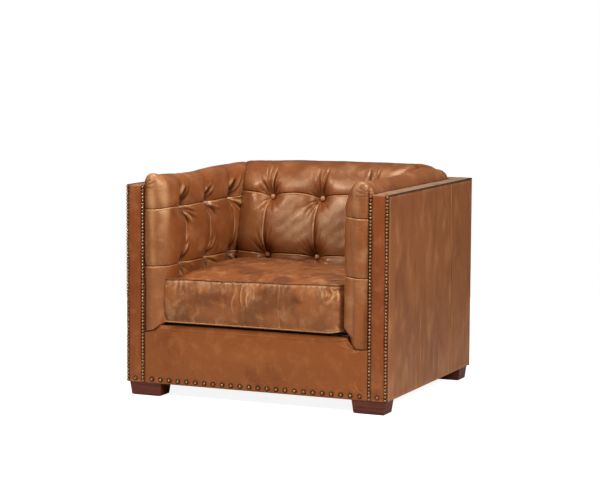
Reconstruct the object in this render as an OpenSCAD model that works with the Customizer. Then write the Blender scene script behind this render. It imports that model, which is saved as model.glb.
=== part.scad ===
// Box-arm club chair: an upright hardwood frame covered in leather, square-tufted arm and back pads that
// stand proud of it, rows of domed nails, and a loose boxed seat cushion on sinuous springs.
// The chair faces -Y and +Z is up. The origin is the centre of the footprint, at floor level.
// Left and right are as seen from in front: left is -X.

/* [Overall] */
// Width over the outside arms
width = 920; // [880:5:980]
// Depth from the arm fronts to the outside back
depth = 796; // [776:4:860]
// Height of the box frame's top edge above the floor
frame_top = 696; // [684:2:730]
// Height of the feet
foot_h = 44; // [36:1:60]

/* [Walls] */
// Thickness of the arm and back walls
wall = 66; // [62:1:76]
// Thickness of the leather panels with their backing board
panel_t = 6; // [5:0.5:8]
// Thickness of the webbing
web_t = 2; // [1.5:0.5:3]
// Diameter of the piping along the wall tops, which is also the thickness of the padded top strips
piping_d = 6; // [5:0.5:8]

/* [Frame] */
// Thickness of the hardwood boards
board_t = 28; // [25:1:32]
// Height of the seat rails
rail_h = 130; // [120:2:140]
// Height of the tack rails, which hold the lower ends of the webbing
tack_h = 40; // [30:1:50]
// Length of the tenons
tenon_l = 16; // [10:1:18]
// Thickness of the tenons
tenon_t = 12; // [8:1:16]
// Step from a board's edge to its tenon
shoulder = 8; // [5:0.5:9]
// Clearance round a tenon in its mortise
glue_gap = 0.3; // [0.1:0.1:0.5]
// Leg of the notched corner blocks, along the rails
block_leg = 110; // [90:5:140]
// Height of the corner blocks
block_h = 45; // [35:1:60]

/* [Feet] */
// Width of a foot at the floor
foot_w = 104; // [80:1:110]
// Depth of a foot at the floor
foot_d = 65; // [56:1:80]
// How far a foot widens on each side towards its top
foot_flare = 5; // [2:0.5:8]
// Inset of a foot's top from the side of the chair
foot_inset_x = 9; // [6:0.5:20]
// Inset of a foot's top from the front or back of the chair
foot_inset_y = 7; // [4:0.5:16]
// Thickness of the felt under the feet
felt_t = 2; // [1.5:0.5:4]
// Margin of the felt inside the foot's edge
felt_margin = 4; // [2:0.5:8]
// Diameter of the hanger bolts
bolt_d = 8; // [6:1:10]
// Depth of the bolt's hole in the foot
bolt_depth = 28; // [20:1:30]

/* [Seat springs] */
// Diameter of the spring wire
wire_d = 4; // [3:0.2:4.6]
// Width of a spring across its loops
spring_w = 50; // [44:1:60]
// Distance between the spring's cross bars
loop_pitch = 25; // [22:1:30]
// Rise of the springs' middle above their ends
spring_crown = 24; // [15:1:26]
// Distance between neighbouring springs
spring_spacing = 118; // [90:1:122]
// Thickness of the spring clips' steel
clip_t = 1.2; // [0.8:0.1:1.6]
// Diameter of the two tie wires under the springs
tie_d = 3; // [2:0.2:4]

/* [Seat deck] */
// Thickness of the felt pad on the springs
deck_pad_t = 38; // [30:1:46]
// Thickness of the deck cloth and of the dust cover
cloth_t = 1; // [0.8:0.1:1.5]
// Radius of the roll along the front border's top edge
border_roll = 15; // [10:1:18]

/* [Arm and back pads] */
// Thickness of the arm pads
arm_pad_t = 78; // [66:1:86]
// Rise of the arm pads above the frame's top
arm_rise = 36; // [20:1:50]
// Height of the arm pads' lower edge above the seat rails
arm_foot = 30; // [20:1:40]
// Radius of the arm pads' inner front corner
arm_nose = 50; // [30:1:60]
// Radius of the arm pads' inner lower corner
arm_heel = 51; // [35:1:60]
// Radius of the arm pads' front top corner
arm_brow = 18; // [10:1:30]
// How far the arm pads run back past the back pad's face, to where the two are mitred
mitre_back = 74; // [50:1:80]
// Lean of the back pad's face
back_lean = 13; // [8:0.5:15]
// Distance from the outside back to the back pad's face, at the upper buttons
back_face = 255; // [235:1:270]
// Rise of the back pad above the frame's top
back_rise = 49; // [30:1:60]
// Radius of the back pad's upper front edge
back_roll = 60; // [40:1:64]
// Distance of the lower back tack rail from the outside back
back_tack = 203; // [180:1:208]

/* [Tufting] */
// Distance between the back pad's button columns
tuft_pitch = 186; // [170:1:190]
// Distance between the button rows on an arm
arm_row_pitch = 187; // [160:1:196]
// Distance between the button rows along the back's slope
back_row_pitch = 202; // [170:1:206]
// Height of the lower button rows
tuft_row = 432; // [424:1:440]
// Distance from the arm front to the first button column of an arm
tuft_first = 128; // [110:1:140]
// Distance from the back pad's face, at the upper buttons, to the last button column of an arm
tuft_last = 41; // [30:1:60]
// Depth of a pit
pit_depth = 24; // [14:1:30]
// Radius of a pit at the pad's face
pit_mouth = 42; // [24:1:48]
// Diameter of a covered button
button_d = 18; // [14:0.5:22]
// Thickness of a covered button
button_t = 6; // [4:0.5:8]
// Diameter of the tufting twine
twine_d = 2; // [1.5:0.1:2.5]
// Width of the webbing strips
web_w = 50; // [40:1:60]

/* [Nails] */
// Diameter of the nail heads in the columns
nail_d = 10.4; // [8:0.1:10.8]
// Distance between nails in a column
nail_pitch = 11; // [10.9:0.1:14]
// Diameter of the nail heads along the bottom
row_nail_d = 11.6; // [9:0.1:14]
// Nails along the bottom, between the columns
row_nails = 24; // [16:1:30]
// Height of the bottom row above the frame's lower edge
row_height = 13.5; // [10:0.5:20]
// Length of a nail's shank
shank_l = 12; // [9:0.5:16]

/* [Seat cushion] */
// Height of the cushion's side
cushion_h = 148; // [120:1:155]
// Rise of the cushion's top in the middle
cushion_crown = 22; // [10:1:30]
// Recess of the cushion's front behind the arm fronts
cushion_recess = 22; // [10:1:40]
// Radius of the cushion's upright corners
cushion_corner = 30; // [15:1:45]
// Thickness of the cushion's leather
cover_t = 2; // [1:0.5:3]
// Diameter of the cushion's piping
cushion_piping_d = 5; // [4:0.5:6]
// Gap on each side between the cushion and the arm pads
cushion_gap = 2; // [1:0.5:6]
// Distance from the cushion's side to the end of its zip
zip_inset = 49; // [40:1:110]
// Distance between the zip's teeth
tooth_pitch = 2.5; // [1.5:0.25:4]

/* [Hidden] */
$fn = 48;

seat_gap = 0.3;     // rest clearance under the loose cushion and over the springs
slip = 0.05;        // clearance of a bolt in its nut and of a bar in its clip
eps = 1;            // how far a cutter runs past what it cuts
steel = "silver";
maple = "burlywood";
tan_leather = "peru";
dark_leather = "sienna";
brass = "darkgoldenrod";
mahogany = "maroon";
foam = "khaki";
jute = "tan";

// Planes of the walls, on the +X side and towards +Y
half_w = width / 2;
half_d = depth / 2;
wall_x = half_w - wall;                     // inner face of an arm wall
wall_y = half_d - wall;                     // inner face of the back wall
frame_x = half_w - panel_t;                 // outer face of the hardwood frame
frame_y = half_d - panel_t;
post_w = wall - panel_t - web_t;            // the posts are square
post_x = frame_x - post_w;                  // inner face of the posts
post_y = frame_y - post_w;

// Levels, from the floor up
base_z = foot_h + cloth_t;                  // underside of the frame
rail_z = base_z + rail_h;                   // top of the seat rails
spring_z = rail_z + clip_t + slip + wire_d / 2;
deck_z = spring_z + spring_crown + wire_d / 2 + seat_gap + deck_pad_t + cloth_t;
cushion_z = deck_z + seat_gap;
tack_z = deck_z + 6;
strip_z = frame_top - piping_d;             // top of the frame's rails
pad_foot_z = rail_z + arm_foot;             // lower edge of the arm pads
border_z = deck_z - 6;                      // top of the front border

// Faces of the pads
pad_x = wall_x - arm_pad_t;                 // inner face of an arm pad
arm_top = frame_top + arm_rise;
back_top = frame_top + back_rise;
upper_tuft_z = tuft_row + back_row_pitch * cos(back_lean);
function back_face_y(z) = half_d - back_face + (z - upper_tuft_z) * tan(back_lean);

// The back webbing runs from the top rail's lower front edge down to the back tack rail
web_top_z = strip_z - board_t;
back_tack_y = half_d - back_tack;
web_low_z = tack_z + tack_h;
web_lean = atan((post_y - back_tack_y) / (web_top_z - web_low_z));
function back_web_y(z) = back_tack_y + (z - web_low_z) * tan(web_lean);

// Points of an arc round a centre, from one angle to another
function arc(centre, r, from, to, steps = 8) =
    [for (i = [0 : steps]) let (a = from + (to - from) * i / steps) centre + r * [cos(a), sin(a)]];

// A box between two opposite corners
module slab(low, high) translate(low) cube(high - low);

// The same shape on the left (-1) or the right (1)
module on_side(side) mirror([side < 0 ? 1 : 0, 0, 0]) children();

// The same shape at the front (-1) or the rear (1)
module on_end(end) mirror([0, end > 0 ? 1 : 0, 0]) children();

// Extrudes a YZ outline along X, centred
module along_x(length) rotate([90, 0, 90]) linear_extrude(length, center = true) children();

// Extrudes an XZ outline along Y, from y to y + length
module along_y(y, length) translate([0, y + length, 0]) rotate([90, 0, 0]) linear_extrude(length) children();

// ---- Hardwood frame ----

// A board along X, centred on x = 0, with a tenon at each end
module board(length, thick, high) {
    translate([-length / 2, 0, 0]) cube([length, thick, high]);
    tenons(length, thick, high, 0);
}

// The bar through a board that forms both tenons, or their mortises when it is grown by a gap
module tenons(length, thick, high, grow) {
    reach = length / 2 + tenon_l + grow;
    slab([-reach, (thick - tenon_t) / 2 - grow, shoulder - grow],
         [reach, (thick + tenon_t) / 2 + grow, high - shoulder + grow]);
}

// Places of the boards: each one's outer or inner face is flush with the posts
module at_seat_cross_rail() translate([0, -frame_y, base_z]) children();
module at_seat_side_rail() translate([frame_x, 0, base_z]) rotate([0, 0, 90]) children();
module at_side_tack_rail() translate([post_x + board_t, 0, tack_z]) rotate([0, 0, 90]) children();
module at_back_tack_rail() translate([0, back_tack_y, tack_z]) children();
module at_back_top_rail() translate([0, post_y, strip_z - board_t]) children();

module seat_cross_rail() color(maple) at_seat_cross_rail() board(2 * post_x, board_t, rail_h);
module seat_side_rail() color(maple) at_seat_side_rail() board(2 * post_y, board_t, rail_h);
module back_top_rail() color(maple) at_back_top_rail() board(2 * post_x, post_w, board_t);
module back_tack_rail() color(maple) at_back_tack_rail() board(2 * post_x, board_t, tack_h);

module side_tack_rail() color(maple) difference() {
    at_side_tack_rail() board(2 * post_y, board_t, tack_h);
    at_back_tack_rail() tenons(2 * post_x, board_t, tack_h, glue_gap);
}

// The square stub at a post's head, or its socket in the arm rail
stub_w = 18;
module post_stub(grow) {
    centre = [post_x + post_w / 2, -post_y - post_w / 2, web_top_z];
    half = stub_w / 2 + grow;
    slab(centre - [half, half, eps], centre + [half, half, board_t - shoulder + grow]);
}

// The front right post, with mortises for the two seat rails and the tack rail
module post() color(maple) difference() {
    union() {
        slab([post_x, -frame_y, base_z], [frame_x, -post_y, web_top_z]);
        post_stub(0);
    }
    at_seat_cross_rail() tenons(2 * post_x, board_t, rail_h, glue_gap);
    at_seat_side_rail() tenons(2 * post_y, board_t, rail_h, glue_gap);
    at_side_tack_rail() tenons(2 * post_y, board_t, tack_h, glue_gap);
}

// The rail along an arm's top, which caps both posts and carries the back top rail
module arm_rail() color(maple) difference() {
    slab([post_x, -frame_y, web_top_z], [frame_x, frame_y, strip_z]);
    for (end = [-1, 1]) on_end(end) post_stub(glue_gap);
    at_back_top_rail() tenons(2 * post_x, post_w, board_t, glue_gap);
}

// Bolt of the front right foot, clear of the post and inside the foot's footprint
bolt_x = post_x - 28;
bolt_y = frame_y - board_t - 24;

// The front right corner block, notched round the post
module corner_block() color(maple) difference() {
    rail_y = -frame_y + board_t;
    side_x = frame_x - board_t;
    translate([0, 0, base_z]) linear_extrude(block_h) polygon([
        [post_x, rail_y], [post_x, -post_y], [side_x, -post_y], [side_x, -post_y + block_leg - post_w],
        [post_x - block_leg, rail_y]
    ]);
    translate([bolt_x, -bolt_y, base_z - eps]) cylinder(r = nut_r + slip, h = block_h + 2 * eps);
}

module at_corners() for (side = [-1, 1], end = [-1, 1]) on_side(side) on_end(end) children();
module corner_blocks() at_corners() corner_block();

// ---- Feet ----

felt_top = felt_t;
// A foot's trapezoid, seen square to one side, from its centre line
module foot_outline(low_w) {
    top = low_w / 2 + foot_flare;
    polygon([[-low_w / 2, felt_top], [low_w / 2, felt_top], [top, foot_h], [-top, foot_h]]);
}
foot_x = half_w - foot_inset_x - foot_flare - foot_w / 2;
foot_y = half_d - foot_inset_y - foot_flare - foot_d / 2;
foot_span = 2 * (foot_w + foot_d);

module foot() color(mahogany) difference() {
    translate([foot_x, -foot_y, 0]) intersection() {
        along_y(-foot_span / 2, foot_span) foot_outline(foot_w);
        along_x(foot_span) foot_outline(foot_d);
    }
    translate([bolt_x, -bolt_y, foot_h - bolt_depth]) cylinder(r = bolt_d / 2 + slip, h = bolt_depth + eps);
}

nut_r = bolt_d / 2 + 1.2;
nut_flange_r = 11;
nut_flange_t = 2;
nut_barrel = 14;
module foot_bolt() color(steel) translate([bolt_x, -bolt_y, foot_h - bolt_depth])
    cylinder(d = bolt_d, h = bolt_depth + cloth_t + block_h + nut_flange_t);
module foot_nut() color(steel) translate([bolt_x, -bolt_y, base_z + block_h]) difference() {
    union() {
        cylinder(r = nut_flange_r, h = nut_flange_t);
        translate([0, 0, -nut_barrel]) cylinder(r = nut_r, h = nut_barrel + nut_flange_t);
    }
    translate([0, 0, -nut_barrel - eps])
        cylinder(r = bolt_d / 2 + slip, h = nut_barrel + nut_flange_t + 2 * eps);
}
module foot_felt() color("dimgray") slab(
    [foot_x - foot_w / 2 + felt_margin, -foot_y - foot_d / 2 + felt_margin, 0],
    [foot_x + foot_w / 2 - felt_margin, -foot_y + foot_d / 2 - felt_margin, felt_top]);
module foot_bolts() at_corners() foot_bolt();
module foot_nuts() at_corners() foot_nut();
module foot_felts() at_corners() foot_felt();

dust_margin = 4;
module dust_cover() color("dimgray") difference() {
    slab([-frame_x + dust_margin, -frame_y + dust_margin, foot_h],
         [frame_x - dust_margin, frame_y - dust_margin, base_z]);
    at_corners() translate([bolt_x, -bolt_y, foot_h - eps]) cylinder(d = bolt_d + 1, h = cloth_t + 2 * eps);
}

// ---- Seat springs and deck ----

// End bars lie towards the inner edge of the front and rear rails
spring_end = frame_y - board_t * 3 / 4;
loops = 2 * floor(spring_end / loop_pitch) + 1;
spring_r = (spring_end ^ 2 + spring_crown ^ 2) / (2 * spring_crown);
spring_half = asin(spring_end / spring_r);
// Centre of a spring's cross bar, as [y, z], at a place from -1 at the front to 1 at the rear
function spring_at(t) =
    spring_r * [sin(spring_half * t), cos(spring_half * t) - 1] + [0, spring_z + spring_crown];
function bar(i) = spring_at(2 * i / loops - 1);
loop_d = norm(bar(1) - bar(0));
bar_l = spring_w - wire_d - loop_d;
bend_seat = 0.5;    // how far a bar runs into its bends
bend_grow = 0.1;    // a bend's wire is this much thicker, so bars end inside it

// One sinuous spring: cross bars along an arc, joined by half loops on alternate sides
module seat_spring(x) color(steel) translate([x, 0, 0]) {
    for (i = [0 : loops])
        translate([-bar_l / 2 - bend_seat, bar(i)[0], bar(i)[1]]) rotate([0, 90, 0])
            cylinder(d = wire_d - bend_grow, h = bar_l + 2 * bend_seat);
    for (i = [0 : loops - 1]) {
        middle = (bar(i) + bar(i + 1)) / 2;
        rise = bar(i + 1) - bar(i);
        side = i % 2 == 0 ? 1 : -1;
        translate([side * bar_l / 2, middle[0], middle[1]])
            rotate([atan2(rise[1], rise[0]), 0, 0]) rotate([0, 0, -side * 90])
                rotate_extrude(angle = 180) translate([loop_d / 2, 0]) circle(d = wire_d);
    }
}
spring_xs = [for (i = [-2 : 2]) i * spring_spacing];

// A clip: an eye round the spring's end bar, and a tab that is nailed to the rail
clip_w = 14;
clip_tab = 7;
module spring_clip() color(steel) translate([0, -spring_end, spring_z]) along_x(clip_w) {
    eye = wire_d / 2 + slip;
    difference() {
        union() {
            circle(r = eye + clip_t);
            translate([-clip_tab, -eye - clip_t]) square([clip_tab, clip_t]);
        }
        circle(r = eye);
    }
}
module spring_clips() for (x = spring_xs, end = [-1, 1]) on_end(end) translate([x, 0, 0]) spring_clip();

// Two wires across all the springs, just under them
tie_place = 0.32;
tie_gap = 0.1;
tie_over = 5;       // how far the wires run past the outer springs
module spring_tie_wires() color(steel) for (end = [-1, 1]) {
    at = spring_at(end * tie_place);
    half = 2 * spring_spacing + spring_w / 2 + tie_over;
    translate([-half, at[0], at[1] - wire_d / 2 - tie_d / 2 - tie_gap]) rotate([0, 90, 0])
        cylinder(d = tie_d, h = 2 * half);
}

deck_margin = 0.5;
deck_front = -half_d + 2 * border_roll + 2;
module deck_layer(low, high)
    slab([-pad_x + deck_margin, deck_front, low], [pad_x - deck_margin, back_tack_y, high]);
module deck_pad() color(foam) deck_layer(deck_z - cloth_t - deck_pad_t, deck_z - cloth_t);
module deck_cloth() color("dimgray") deck_layer(deck_z - cloth_t, deck_z);

// ---- Webbing, pads and buttons ----

arm_column_1 = -half_d + tuft_first;
arm_column_3 = half_d - back_face - tuft_last;
arm_columns = [arm_column_1, (arm_column_1 + arm_column_3) / 2, arm_column_3];
arm_tufts = [for (y = arm_columns, j = [0 : 1]) [y, tuft_row + j * arm_row_pitch]];
back_tufts = [
    for (i = [-1 : 1], j = [0 : 1]) [i * tuft_pitch, tuft_row + j * back_row_pitch * cos(back_lean)]
];

// Children point out of the pad's face along +Z, with z = 0 on the face
module at_arm_tuft(p) translate([pad_x, p[0], p[1]]) rotate([0, -90, 0]) children();
module at_back_tuft(p) translate([p[0], back_face_y(p[1]), p[1]]) rotate([90 - back_lean, 0, 0]) children();

// How far the twine runs from the face to the rear of the webbing
arm_twine = arm_pad_t + web_t;
function back_twine(z) =
    (back_web_y(z) - back_face_y(z)) / (cos(back_lean) + sin(back_lean) * tan(web_lean));

hole_r = twine_d / 2 + 0.5;
washer_r = 7;
washer_t = 2;
washer_tilt_gap = 1;    // room for a washer that isn't square to the webbing

// A pit: the leather rolls over and down to the button, and the twine's hole runs on through the pad
module pit(depth) rotate_extrude() polygon(concat(
    [[0, eps], [pit_mouth, eps]],
    [for (a = [0 : 15 : 90])
        [pit_mouth - (pit_mouth - button_d / 2 - 1) * sin(a), -pit_depth * (1 - cos(a))]],
    [[hole_r, -pit_depth], [hole_r, -depth - eps], [0, -depth - eps]]
));

// A covered button with its twine and the washer it is tied to behind the webbing
module button(depth) color(dark_leather) rotate_extrude() polygon(concat(
    [for (a = [90 : -15 : 0]) [button_d / 2 * cos(a), -pit_depth + button_t / 2 + button_t / 2 * sin(a)]],
    [[button_d / 2 - 1, -pit_depth], [twine_d / 2, -pit_depth], [twine_d / 2, -depth],
     [washer_r, -depth], [washer_r, -depth - washer_t], [0, -depth - washer_t]]
));

module arm_webbing() color(jute) difference() {
    for (y = arm_columns) slab([wall_x, y - web_w / 2, tack_z], [post_x, y + web_w / 2, strip_z]);
    for (p = arm_tufts) at_arm_tuft(p) pit(arm_twine);
}

// Down the top rail's front, along the slope and down the tack rail's front
module back_webbing() color(jute) difference() {
    for (i = [-1 : 1]) translate([i * tuft_pitch, 0, 0]) along_x(web_w) polygon([
        [post_y, strip_z], [post_y, web_top_z], [back_tack_y, web_low_z], [back_tack_y, tack_z],
        [back_tack_y - web_t, tack_z], [back_tack_y - web_t, web_low_z],
        [post_y - web_t, web_top_z], [post_y - web_t, strip_z]
    ]);
    for (p = back_tufts) at_back_tuft(p) pit(back_twine(p[1]) + washer_tilt_gap);
}

// An arm pad's section across the arm, which is also its outline from in front
module arm_pad_section(grow) {
    roll = arm_pad_t / 2;
    heel = [pad_x + arm_heel, pad_foot_z + arm_heel];
    polygon(concat(
        [[wall_x + grow, pad_foot_z - grow]],
        arc(heel, arm_heel + grow, 270, 180),
        arc([pad_x + roll, arm_top - roll], roll + grow, 180, 0, 16),
        [[wall_x + grow, arm_top - roll]]
    ));
}

pad_gap = 0.5;
back_rear_roll = 44;
back_shoulder = 40;
back_end_round = 46;    // how far in from its end the back pad's face starts to turn back

// Places children in the slope of the back: X along the back, Y into it from its face, Z up the slope
module on_slope()
    translate([0, back_face_y(upper_tuft_z), upper_tuft_z]) rotate([-back_lean, 0, 0]) children();
// Extrudes a plan outline, drawn in the slope, over the whole height of the chair
module up_slope() on_slope() translate([0, 0, -frame_top]) linear_extrude(2 * frame_top) children();
// The rear of all three pads: the wall, then down the webbing's slope
pads_rear = [[wall_y, web_top_z], [back_tack_y - web_t, web_low_z]];

module arm_pad() color(tan_leather) difference() {
    intersection() {
        along_y(-half_d, half_d + wall_y) arm_pad_section(0);
        // The plan: a rounded nose at the inner front corner
        linear_extrude(arm_top + eps) polygon(concat(
            [[wall_x, -half_d], [wall_x, wall_y], [pad_x, wall_y]],
            arc([pad_x + arm_nose, -half_d + arm_nose], arm_nose, 180, 270)
        ));
        // The side: a rounded brow at the front
        along_x(width) polygon(concat(
            arc([-half_d + arm_brow, arm_top - arm_brow], arm_brow, 90, 180),
            [[-half_d, pad_foot_z], [back_tack_y - web_t, pad_foot_z]], [pads_rear[1], pads_rear[0]],
            [[wall_y, arm_top]]
        ));
        // The mitre against the back pad
        up_slope() polygon([
            [pad_x, -depth], [wall_x, -depth], [wall_x, mitre_back + arm_pad_t], [pad_x, mitre_back]
        ]);
    }
    for (p = arm_tufts) at_arm_tuft(p) pit(arm_twine);
}
module arm_buttons() for (p = arm_tufts) at_arm_tuft(p) button(arm_twine);

// The back pad's plan: at each end the face turns back, meets the arm pad's mitre and follows it
module back_plan() {
    end = pad_x - pad_gap;
    right = concat(
        [for (a = [0 : 15 : 90]) [end - back_end_round * (1 - sin(a)), mitre_back * (1 - cos(a))]],
        [[wall_x - pad_gap, mitre_back + arm_pad_t], [wall_x - pad_gap, depth]]
    );
    polygon(concat(right, [for (i = [len(right) - 1 : -1 : 0]) [-right[i][0], right[i][1]]]));
}

module back_pad() color(tan_leather) difference() {
    // Centre of the upper front roll, tangent to the face
    roll_z = back_top - back_roll;
    roll_y = back_face_y(roll_z) + back_roll / cos(back_lean);
    foot_z = deck_z + pad_gap;
    half = wall_x - pad_gap;
    intersection() {
        along_x(width) polygon(concat(
            [[back_face_y(foot_z), foot_z]],
            arc([roll_y, roll_z], back_roll, 180 - back_lean, 90),
            arc([wall_y - back_rear_roll, back_top - back_rear_roll], back_rear_roll, 90, 0),
            pads_rear, [[back_tack_y - web_t, foot_z]]
        ));
        // The top rounds off at both ends
        along_y(-half_d, depth) polygon(concat(
            [[half, 0]], arc([half - back_shoulder, back_top - back_shoulder], back_shoulder, 0, 90),
            arc([-half + back_shoulder, back_top - back_shoulder], back_shoulder, 90, 180), [[-half, 0]]
        ));
        up_slope() back_plan();
    }
    for (p = back_tufts) at_back_tuft(p) pit(back_twine(p[1]) + washer_tilt_gap);
}
module back_buttons() for (p = back_tufts) at_back_tuft(p) button(back_twine(p[1]) + washer_tilt_gap);

// ---- Outside covers ----

module outside_arm() color(tan_leather)
    slab([frame_x, -frame_y, foot_h], [half_w, frame_y, strip_z]);
module outside_back() color(tan_leather)
    slab([-half_w, frame_y, foot_h], [half_w, half_d, strip_z]);
module arm_facing() color(tan_leather)
    slab([wall_x, -half_d, foot_h], [half_w, -frame_y, frame_top]);

// The padded front border: a panel that rolls over at the top, cut round the feet of the arm pads
border_foot = 12;   // how much of the roll's base stands on the rail
module front_border() color(tan_leather) difference() {
    roll_z = border_z - border_roll;
    roll_y = -half_d + border_roll;
    along_x(2 * wall_x) polygon(concat(
        [[-frame_y, foot_h], [-half_d, foot_h]],
        arc([roll_y, roll_z], border_roll, 180, 0),
        [[-frame_y + border_foot, roll_z - border_roll], [-frame_y + border_foot, rail_z], [-frame_y, rail_z]]
    ));
    for (side = [-1, 1]) on_side(side)
        along_y(-half_d - eps, panel_t + 2 * border_roll + 2 * eps) arm_pad_section(pad_gap);
}

// A padded strip lies on each wall between two pipings, from the arm's facing to a mitre at the back corner
module top_strip_side() color(dark_leather) translate([0, 0, strip_z]) linear_extrude(piping_d) polygon([
    [wall_x + piping_d, -frame_y], [half_w - piping_d, -frame_y],
    [half_w - piping_d, half_d - piping_d], [wall_x + piping_d, wall_y + piping_d]
]);
module top_strip_back() color(dark_leather) translate([0, 0, strip_z]) linear_extrude(piping_d) polygon([
    [-half_w + piping_d, half_d - piping_d], [half_w - piping_d, half_d - piping_d],
    [wall_x + piping_d, wall_y + piping_d], [-wall_x - piping_d, wall_y + piping_d]
]);

// Piping along both sides and the back, with a ball at each back corner
module piping_run(x, y) color(dark_leather) translate([0, 0, strip_z + piping_d / 2]) {
    for (side = [-1, 1]) {
        translate([side * x, -frame_y, 0]) rotate([-90, 0, 0]) cylinder(d = piping_d, h = frame_y + y);
        translate([side * x, y, 0]) sphere(d = piping_d);
    }
    translate([-x, y, 0]) rotate([0, 90, 0]) cylinder(d = piping_d, h = 2 * x);
}
module outer_piping() piping_run(half_w - piping_d / 2, half_d - piping_d / 2);
module inner_piping() piping_run(wall_x + piping_d / 2, wall_y + piping_d / 2);

// ---- Nails ----

// A domed head on the face, and a tapering shank behind it
dome_rise = 0.3;    // height of a head, as a share of its diameter
shank_share = 1 / 9;  // radius of a shank at the face, as a share of its head's diameter
module nail(x, z, d) color(brass) translate([x, -half_d, z]) rotate([90, 0, 0]) {
    ball = d * (0.25 + dome_rise ^ 2) / (2 * dome_rise);
    intersection() {
        translate([0, 0, d * dome_rise - ball]) sphere(r = ball);
        cylinder(d = d, h = d);
    }
    translate([0, 0, -shank_l]) cylinder(r1 = 0.3, r2 = d * shank_share, h = shank_l + eps);
}

nail_margin = 0.5;  // least distance of a nail from the facing's side edge
column_low = foot_h + 6.5;
// The last nail's shank passes just under the top strip
column_count = floor((strip_z - nail_d * shank_share - column_low) / nail_pitch);
inner_column = wall_x + nail_d / 2;
outer_column = half_w - nail_d / 2 - nail_margin;
row_z = foot_h + row_height;
module arm_nails() {
    for (x = [inner_column, outer_column], i = [0 : column_count])
        nail(x, column_low + i * nail_pitch, nail_d);
    nail((inner_column + outer_column) / 2, row_z, row_nail_d);
}
module border_nails() {
    pitch = 2 * inner_column / (row_nails + 1);
    for (i = [1 : row_nails]) nail(-inner_column + i * pitch, row_z, row_nail_d);
}

// ---- Seat cushion ----

cushion_x = pad_x - cushion_gap - cushion_piping_d;
cushion_front = -half_d + cushion_recess;
cushion_back = back_face_y(deck_z) - cushion_gap - cushion_piping_d;
cushion_mid = (cushion_front + cushion_back) / 2;
cushion_len = (cushion_back - cushion_front) / 2;
function crown_arc(half, rise) = let (r = (half ^ 2 + rise ^ 2) / (2 * rise), a = asin(half / r))
    arc([0, rise - r], r, 90 - a, 90 + a, 24);

// The cushion's form, shrunk by an inset on every side
module crowned_outline(half, inset) {
    low = cushion_z + inset;
    side = cushion_z + cushion_h - inset;
    polygon(concat([[-half + inset, low], [half - inset, low]],
        [for (p = crown_arc(half - inset, cushion_crown)) p + [0, side]]));
}
module cushion_form(inset) translate([0, cushion_mid, 0]) intersection() {
    along_y(-depth / 2, depth) crowned_outline(cushion_x, inset);
    along_x(width) crowned_outline(cushion_len, inset);
    linear_extrude(cushion_z + cushion_h + cushion_crown + eps)
        rounded_rect(cushion_x - inset, cushion_len - inset, cushion_corner - inset);
}
module rounded_rect(half_x, half_y, r) {
    square([2 * half_x - 2 * r, 2 * half_y], center = true);
    square([2 * half_x, 2 * half_y - 2 * r], center = true);
    for (x = [-1, 1], y = [-1, 1]) translate([x * (half_x - r), y * (half_y - r)]) circle(r = r);
}
core_gap = 0.2;
module cushion_core() color(foam) cushion_form(cover_t + core_gap);
module cushion_cover() color(tan_leather) difference() { cushion_form(0); cushion_form(cover_t); }

// Piping round the foot and the head of the cushion's side
module piping_ring() {
    r = cushion_piping_d / 2;
    for (side = [-1, 1]) {
        on_side(side) translate([cushion_x + r, -cushion_len + cushion_corner, 0]) rotate([-90, 0, 0])
            cylinder(r = r, h = 2 * (cushion_len - cushion_corner));
        on_end(side) translate([-cushion_x + cushion_corner, -cushion_len - r, 0]) rotate([0, 90, 0])
            cylinder(r = r, h = 2 * (cushion_x - cushion_corner));
        for (end = [-1, 1]) on_side(side) on_end(end)
            translate([cushion_x - cushion_corner, -cushion_len + cushion_corner, 0])
                rotate([0, 0, -90]) rotate_extrude(angle = 90)
                    translate([cushion_corner + r, 0]) circle(r = r);
    }
}
module cushion_piping() color(dark_leather)
    for (z = [cushion_piping_d / 2, cushion_h - cushion_piping_d / 2])
        translate([0, cushion_mid, cushion_z + z]) piping_ring();

// The zip lies on the cushion's rear side: a tape with the closed chain along its middle
zip_z = cushion_z + cushion_h / 2;
zip_l = 2 * (cushion_x - zip_inset);
tape_t = 1.2;
tape_w = 30;
zip_hem = 8;        // tape past the ends of the chain
chain_w = 5;
chain_t = 2;
module cushion_zip() color("dimgray") translate([0, cushion_back, zip_z]) {
    slab([-zip_l / 2, 0, -tape_w / 2], [zip_l / 2, tape_t, tape_w / 2]);
    chain_base = tape_t + chain_t / 2;
    chain_end = zip_l / 2 - zip_hem;
    teeth = floor(2 * chain_end / tooth_pitch);
    translate([0, 0, -chain_w / 2]) linear_extrude(chain_w) polygon(concat(
        [[chain_end, 0], [-chain_end, 0], [-chain_end, chain_base]],
        [for (i = [0 : teeth - 1], p = [[0.2, 0], [0.3, 1], [0.7, 1], [0.8, 0]])
            [-chain_end + (i + p[0]) * tooth_pitch, chain_base + p[1] * chain_t / 2]],
        [[chain_end, chain_base]]
    ));
}
slider_l = 14;
slider_wall = 1.5;
slider_gap = 0.3;
pull_l = 24;
pull_w = 8;
zip_start = -zip_l / 2 + 20;
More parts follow.
